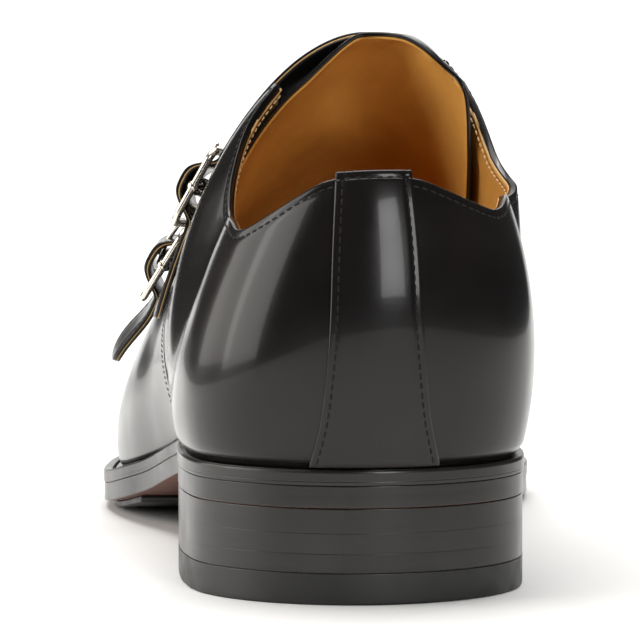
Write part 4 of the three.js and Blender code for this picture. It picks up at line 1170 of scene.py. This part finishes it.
def stitched(name, rows, finish=thread, stands_for=()):
    """One piece from several rows of stitches, facing outwards."""
    points, faces, start = [], [], 0
    for p, f in rows:
        if volume_sign(p[:36], f[:len(f) * 36 // len(p)]) < 0:
            f = [g[::-1] for g in f]
        points.append(p)
        faces += [[i + start for i in g] for g in f]
        start += len(p)
    return piece(name, np.concatenate(points), faces, finish, stands_for)


def strip_line(side):
    """Seam inside one edge of the back strip, from the welt to its top row."""
    rows = np.linspace(.01, 1 - 1.6 * MM / .06, 220)
    x = side * (strip_width(rows) * STRIP_WIDTH / 2 - STITCH_INSET)
    turn = turn_at_side(x, rows * strip_top)
    return skin(turn, rows * strip_top, 0 * rows + QUARTER + 1.0 * MM), skin_normal(turn, rows * strip_top)


def strip_across():
    """Seam along the top of the back strip."""
    row = 1 - 1.6 * MM / .06
    half = float(strip_width(row)) * STRIP_WIDTH / 2 - STITCH_INSET
    x = np.linspace(-half, half, 60)
    up = np.full(60, row * strip_top)
    turn = turn_at_side(x, up)
    return skin(turn, up, 0 * x + QUARTER + 1.0 * MM), skin_normal(turn, up)


stitched("back_strip_stitches",
         [stitch_row(*strip_line(-1)), stitch_row(*strip_line(1)), stitch_row(*strip_across())])

# %% Collar, seam and welt stitches
def edge_line(first, last, down, lower=False):
    """Line at a distance inside the collar's edge, or inside the front seam when lower is set."""
    turn = np.linspace(first, last, 500)
    up = low_edge(turn) if lower else top_edge(turn)
    up = up + (down if lower else -down) / rib_speed(turn, up)
    return skin(turn, up, 0 * turn + QUARTER - .06 * MM), skin_normal(turn, up)


strip_turns = turn_at_side(np.array([-1, 1]) * STRIP_WIDTHS[-1, 1] * STRIP_WIDTH / 2, np.full(2, strip_top))
seam_start = [s * turn_of(.3) for s in (-1, 1)]


def inside_line(first, last, down):
    """Line at a distance below the collar's edge on the inner face of the lining."""
    turn = np.linspace(first, last, 500)
    up = top_edge(turn)
    up = up - down / rib_speed(turn, up)
    return skin(turn, up, 0 * turn - 1.82 * MM), -skin_normal(turn, up)


def tongue_line(down):
    """Line along the tongue's rear edge on its lining, at a distance from the edge."""
    step = np.linspace(.03, .97, 500)
    share = 0 * step + down / (.25 * SOLE_LENGTH)
    front = tongue_point(share, step, TONGUE)
    return front, front - tongue_point(share, step, 0.0)


stitched("lining_stitches",
         [stitch_row(*inside_line(tips[0] * .93, tips[1] * .93, 1.7 * MM), length=1.3 * MM)],
         tan_thread)
stitched("tongue_stitches", [stitch_row(*tongue_line(1.8 * MM), length=1.3 * MM)], tan_thread)
stitched("collar_stitches", [stitch_row(*edge_line(tips[0] * .985, strip_turns[0], 2.0 * MM)),
                             stitch_row(*edge_line(strip_turns[1], tips[1] * .985, 2.0 * MM))])
stitched("front_seam_stitches", [stitch_row(*edge_line(a, b * .97, d * MM, True), length=1.4 * MM)
                                 for a, b in zip(seam_start, tips) for d in (2.0, 3.6)])
turn = np.r_[np.linspace(turn_of(.3), 1, 700), np.linspace(-1, -turn_of(.3), 700)[1:]]
line = outline(turn, margin(turn) * WELT_MARGIN * .5)
line = np.concatenate([line, (underside(line[:, 1]) + 7.66 * MM)[:, None]], 1)
stitched("welt_stitches",
         [stitch_row(line, np.tile([0, 0, 1.0], (len(line), 1)), length=2.3 * MM, gap=.7 * MM,
                     radius=.4 * MM, slant=.12)])

# %% Strap stitches
def strap_lines(way):
    """Rows near both edges of a strap and round its free end."""
    point, sideways, normal, lift, half, length = way
    keep = (half > STRAP_WIDTH / 2 * .72)
    rows = []
    for side in (-1, 1):
        path = point + sideways * (side * half * .8)[:, None] + normal * (lift + STRAP - .1 * MM)[:, None]
        rows.append(stitch_row(path[keep], normal[keep], length=1.4 * MM))
    return rows


for name, way in ways.items():
    stitched(f"strap_{name}_stitches", strap_lines(way))

# %% [markdown]
# # Floor, light and camera
# The shoe stands on a white sheet that curves up behind it. A large soft light to the left gives the
# broad shine on the outer quarter, a small one behind gives the spot on the back strip, and the floor's
# white comes back up from below. The camera stands at heel height, a little to the left.

# %% White sheet
def white_sheet():
    """Floor that rises behind the shoe: y = t, z = 0 up to the bend, then a quarter circle and a wall."""
    y = np.r_[np.linspace(-1.2, 2.2, 20), 2.2 + np.sin(np.linspace(0, np.pi / 2, 14)[1:]) * 1.2, 3.4, 3.4]
    z = np.r_[np.zeros(20), 1.2 - np.cos(np.linspace(0, np.pi / 2, 14)[1:]) * 1.2, 2.6, 5.0]
    x = np.linspace(-.62, 1.15, 21)
    points = np.stack([np.broadcast_to(x, (len(y), 21)), np.broadcast_to(y[:, None], (len(y), 21)),
                       np.broadcast_to(z[:, None], (len(y), 21))], -1)
    mesh = bpy.data.meshes.new("white_sheet")
    mesh.from_pydata(points.reshape(-1, 3), [], quads(len(y), 21).tolist())
    sheet = bpy.data.objects.new("white_sheet", mesh)
    bpy.context.collection.objects.link(sheet)
    return sheet


paper = new_finish("white_paper", (0.93, 0.93, 0.925), 0.75, specular=0.2)
wire(paper, Base_Color=mottled(paper, (0.915, 0.915, 0.91), (0.94, 0.94, 0.935), 6))
sheet = white_sheet()
sheet.data.materials.append(paper)

# %% Lights
def soft_light(name, where, towards, size, power, colour=(1, 1, 1)):
    """Rectangular soft light that faces a point."""
    data = bpy.data.lights.new(name, "AREA")
    data.shape, data.size, data.size_y = "RECTANGLE", *size
    data.energy, data.color = power, colour
    lamp = bpy.data.objects.new(name, data)
    bpy.context.collection.objects.link(lamp)
    lamp.location = where
    lamp.rotation_mode = "QUATERNION"
    lamp.rotation_quaternion = (Vector(towards) - Vector(where)).to_track_quat("-Z", "Y")
    return lamp


soft_light("left_window", (-1.05, .45, .45), (0, .15, .2), (.8, .8), 4.5, (1, .97, .93))
soft_light("left_fill", (-1.0, -.1, .45), (0, 0, .15), (.6, .9), 6, (1, .97, .93))
soft_light("back_spot", (.45, -1.25, .58), (0, 0, .07), (.38, .8), 7)
soft_light("top_light", (0, .6, 2.4), (0, .2, 0), (2.6, 2.2), 72, (1, .98, .955))
soft_light("sheet_light", (0, 1.2, 2.6), (0, 3.2, .8), (3.0, 1.0), 70)
world = bpy.data.worlds.new("studio")
bpy.context.scene.world = world
world.use_nodes = True
world.node_tree.nodes["Background"].inputs["Color"].default_value = (1, 1, 1, 1)
world.node_tree.nodes["Background"].inputs["Strength"].default_value = 0.05
bpy.context.scene.view_settings.view_transform = "Standard"

# %% Camera
FOCAL = 3500
camera_data = bpy.data.cameras.new("camera")
camera_data.sensor_width, camera_data.lens = 36, 36 * FOCAL / 640
camera_data.clip_start, camera_data.clip_end = 0.05, 30
camera = bpy.data.objects.new("camera", camera_data)
bpy.context.collection.objects.link(camera)
camera.location = (-.0649, -.734, .102)
pitch = 220 / FOCAL
camera.rotation_mode = "QUATERNION"
camera.rotation_quaternion = Vector((.0767, 1, -pitch)).to_track_quat("-Z", "Y")
bpy.context.scene.camera = camera
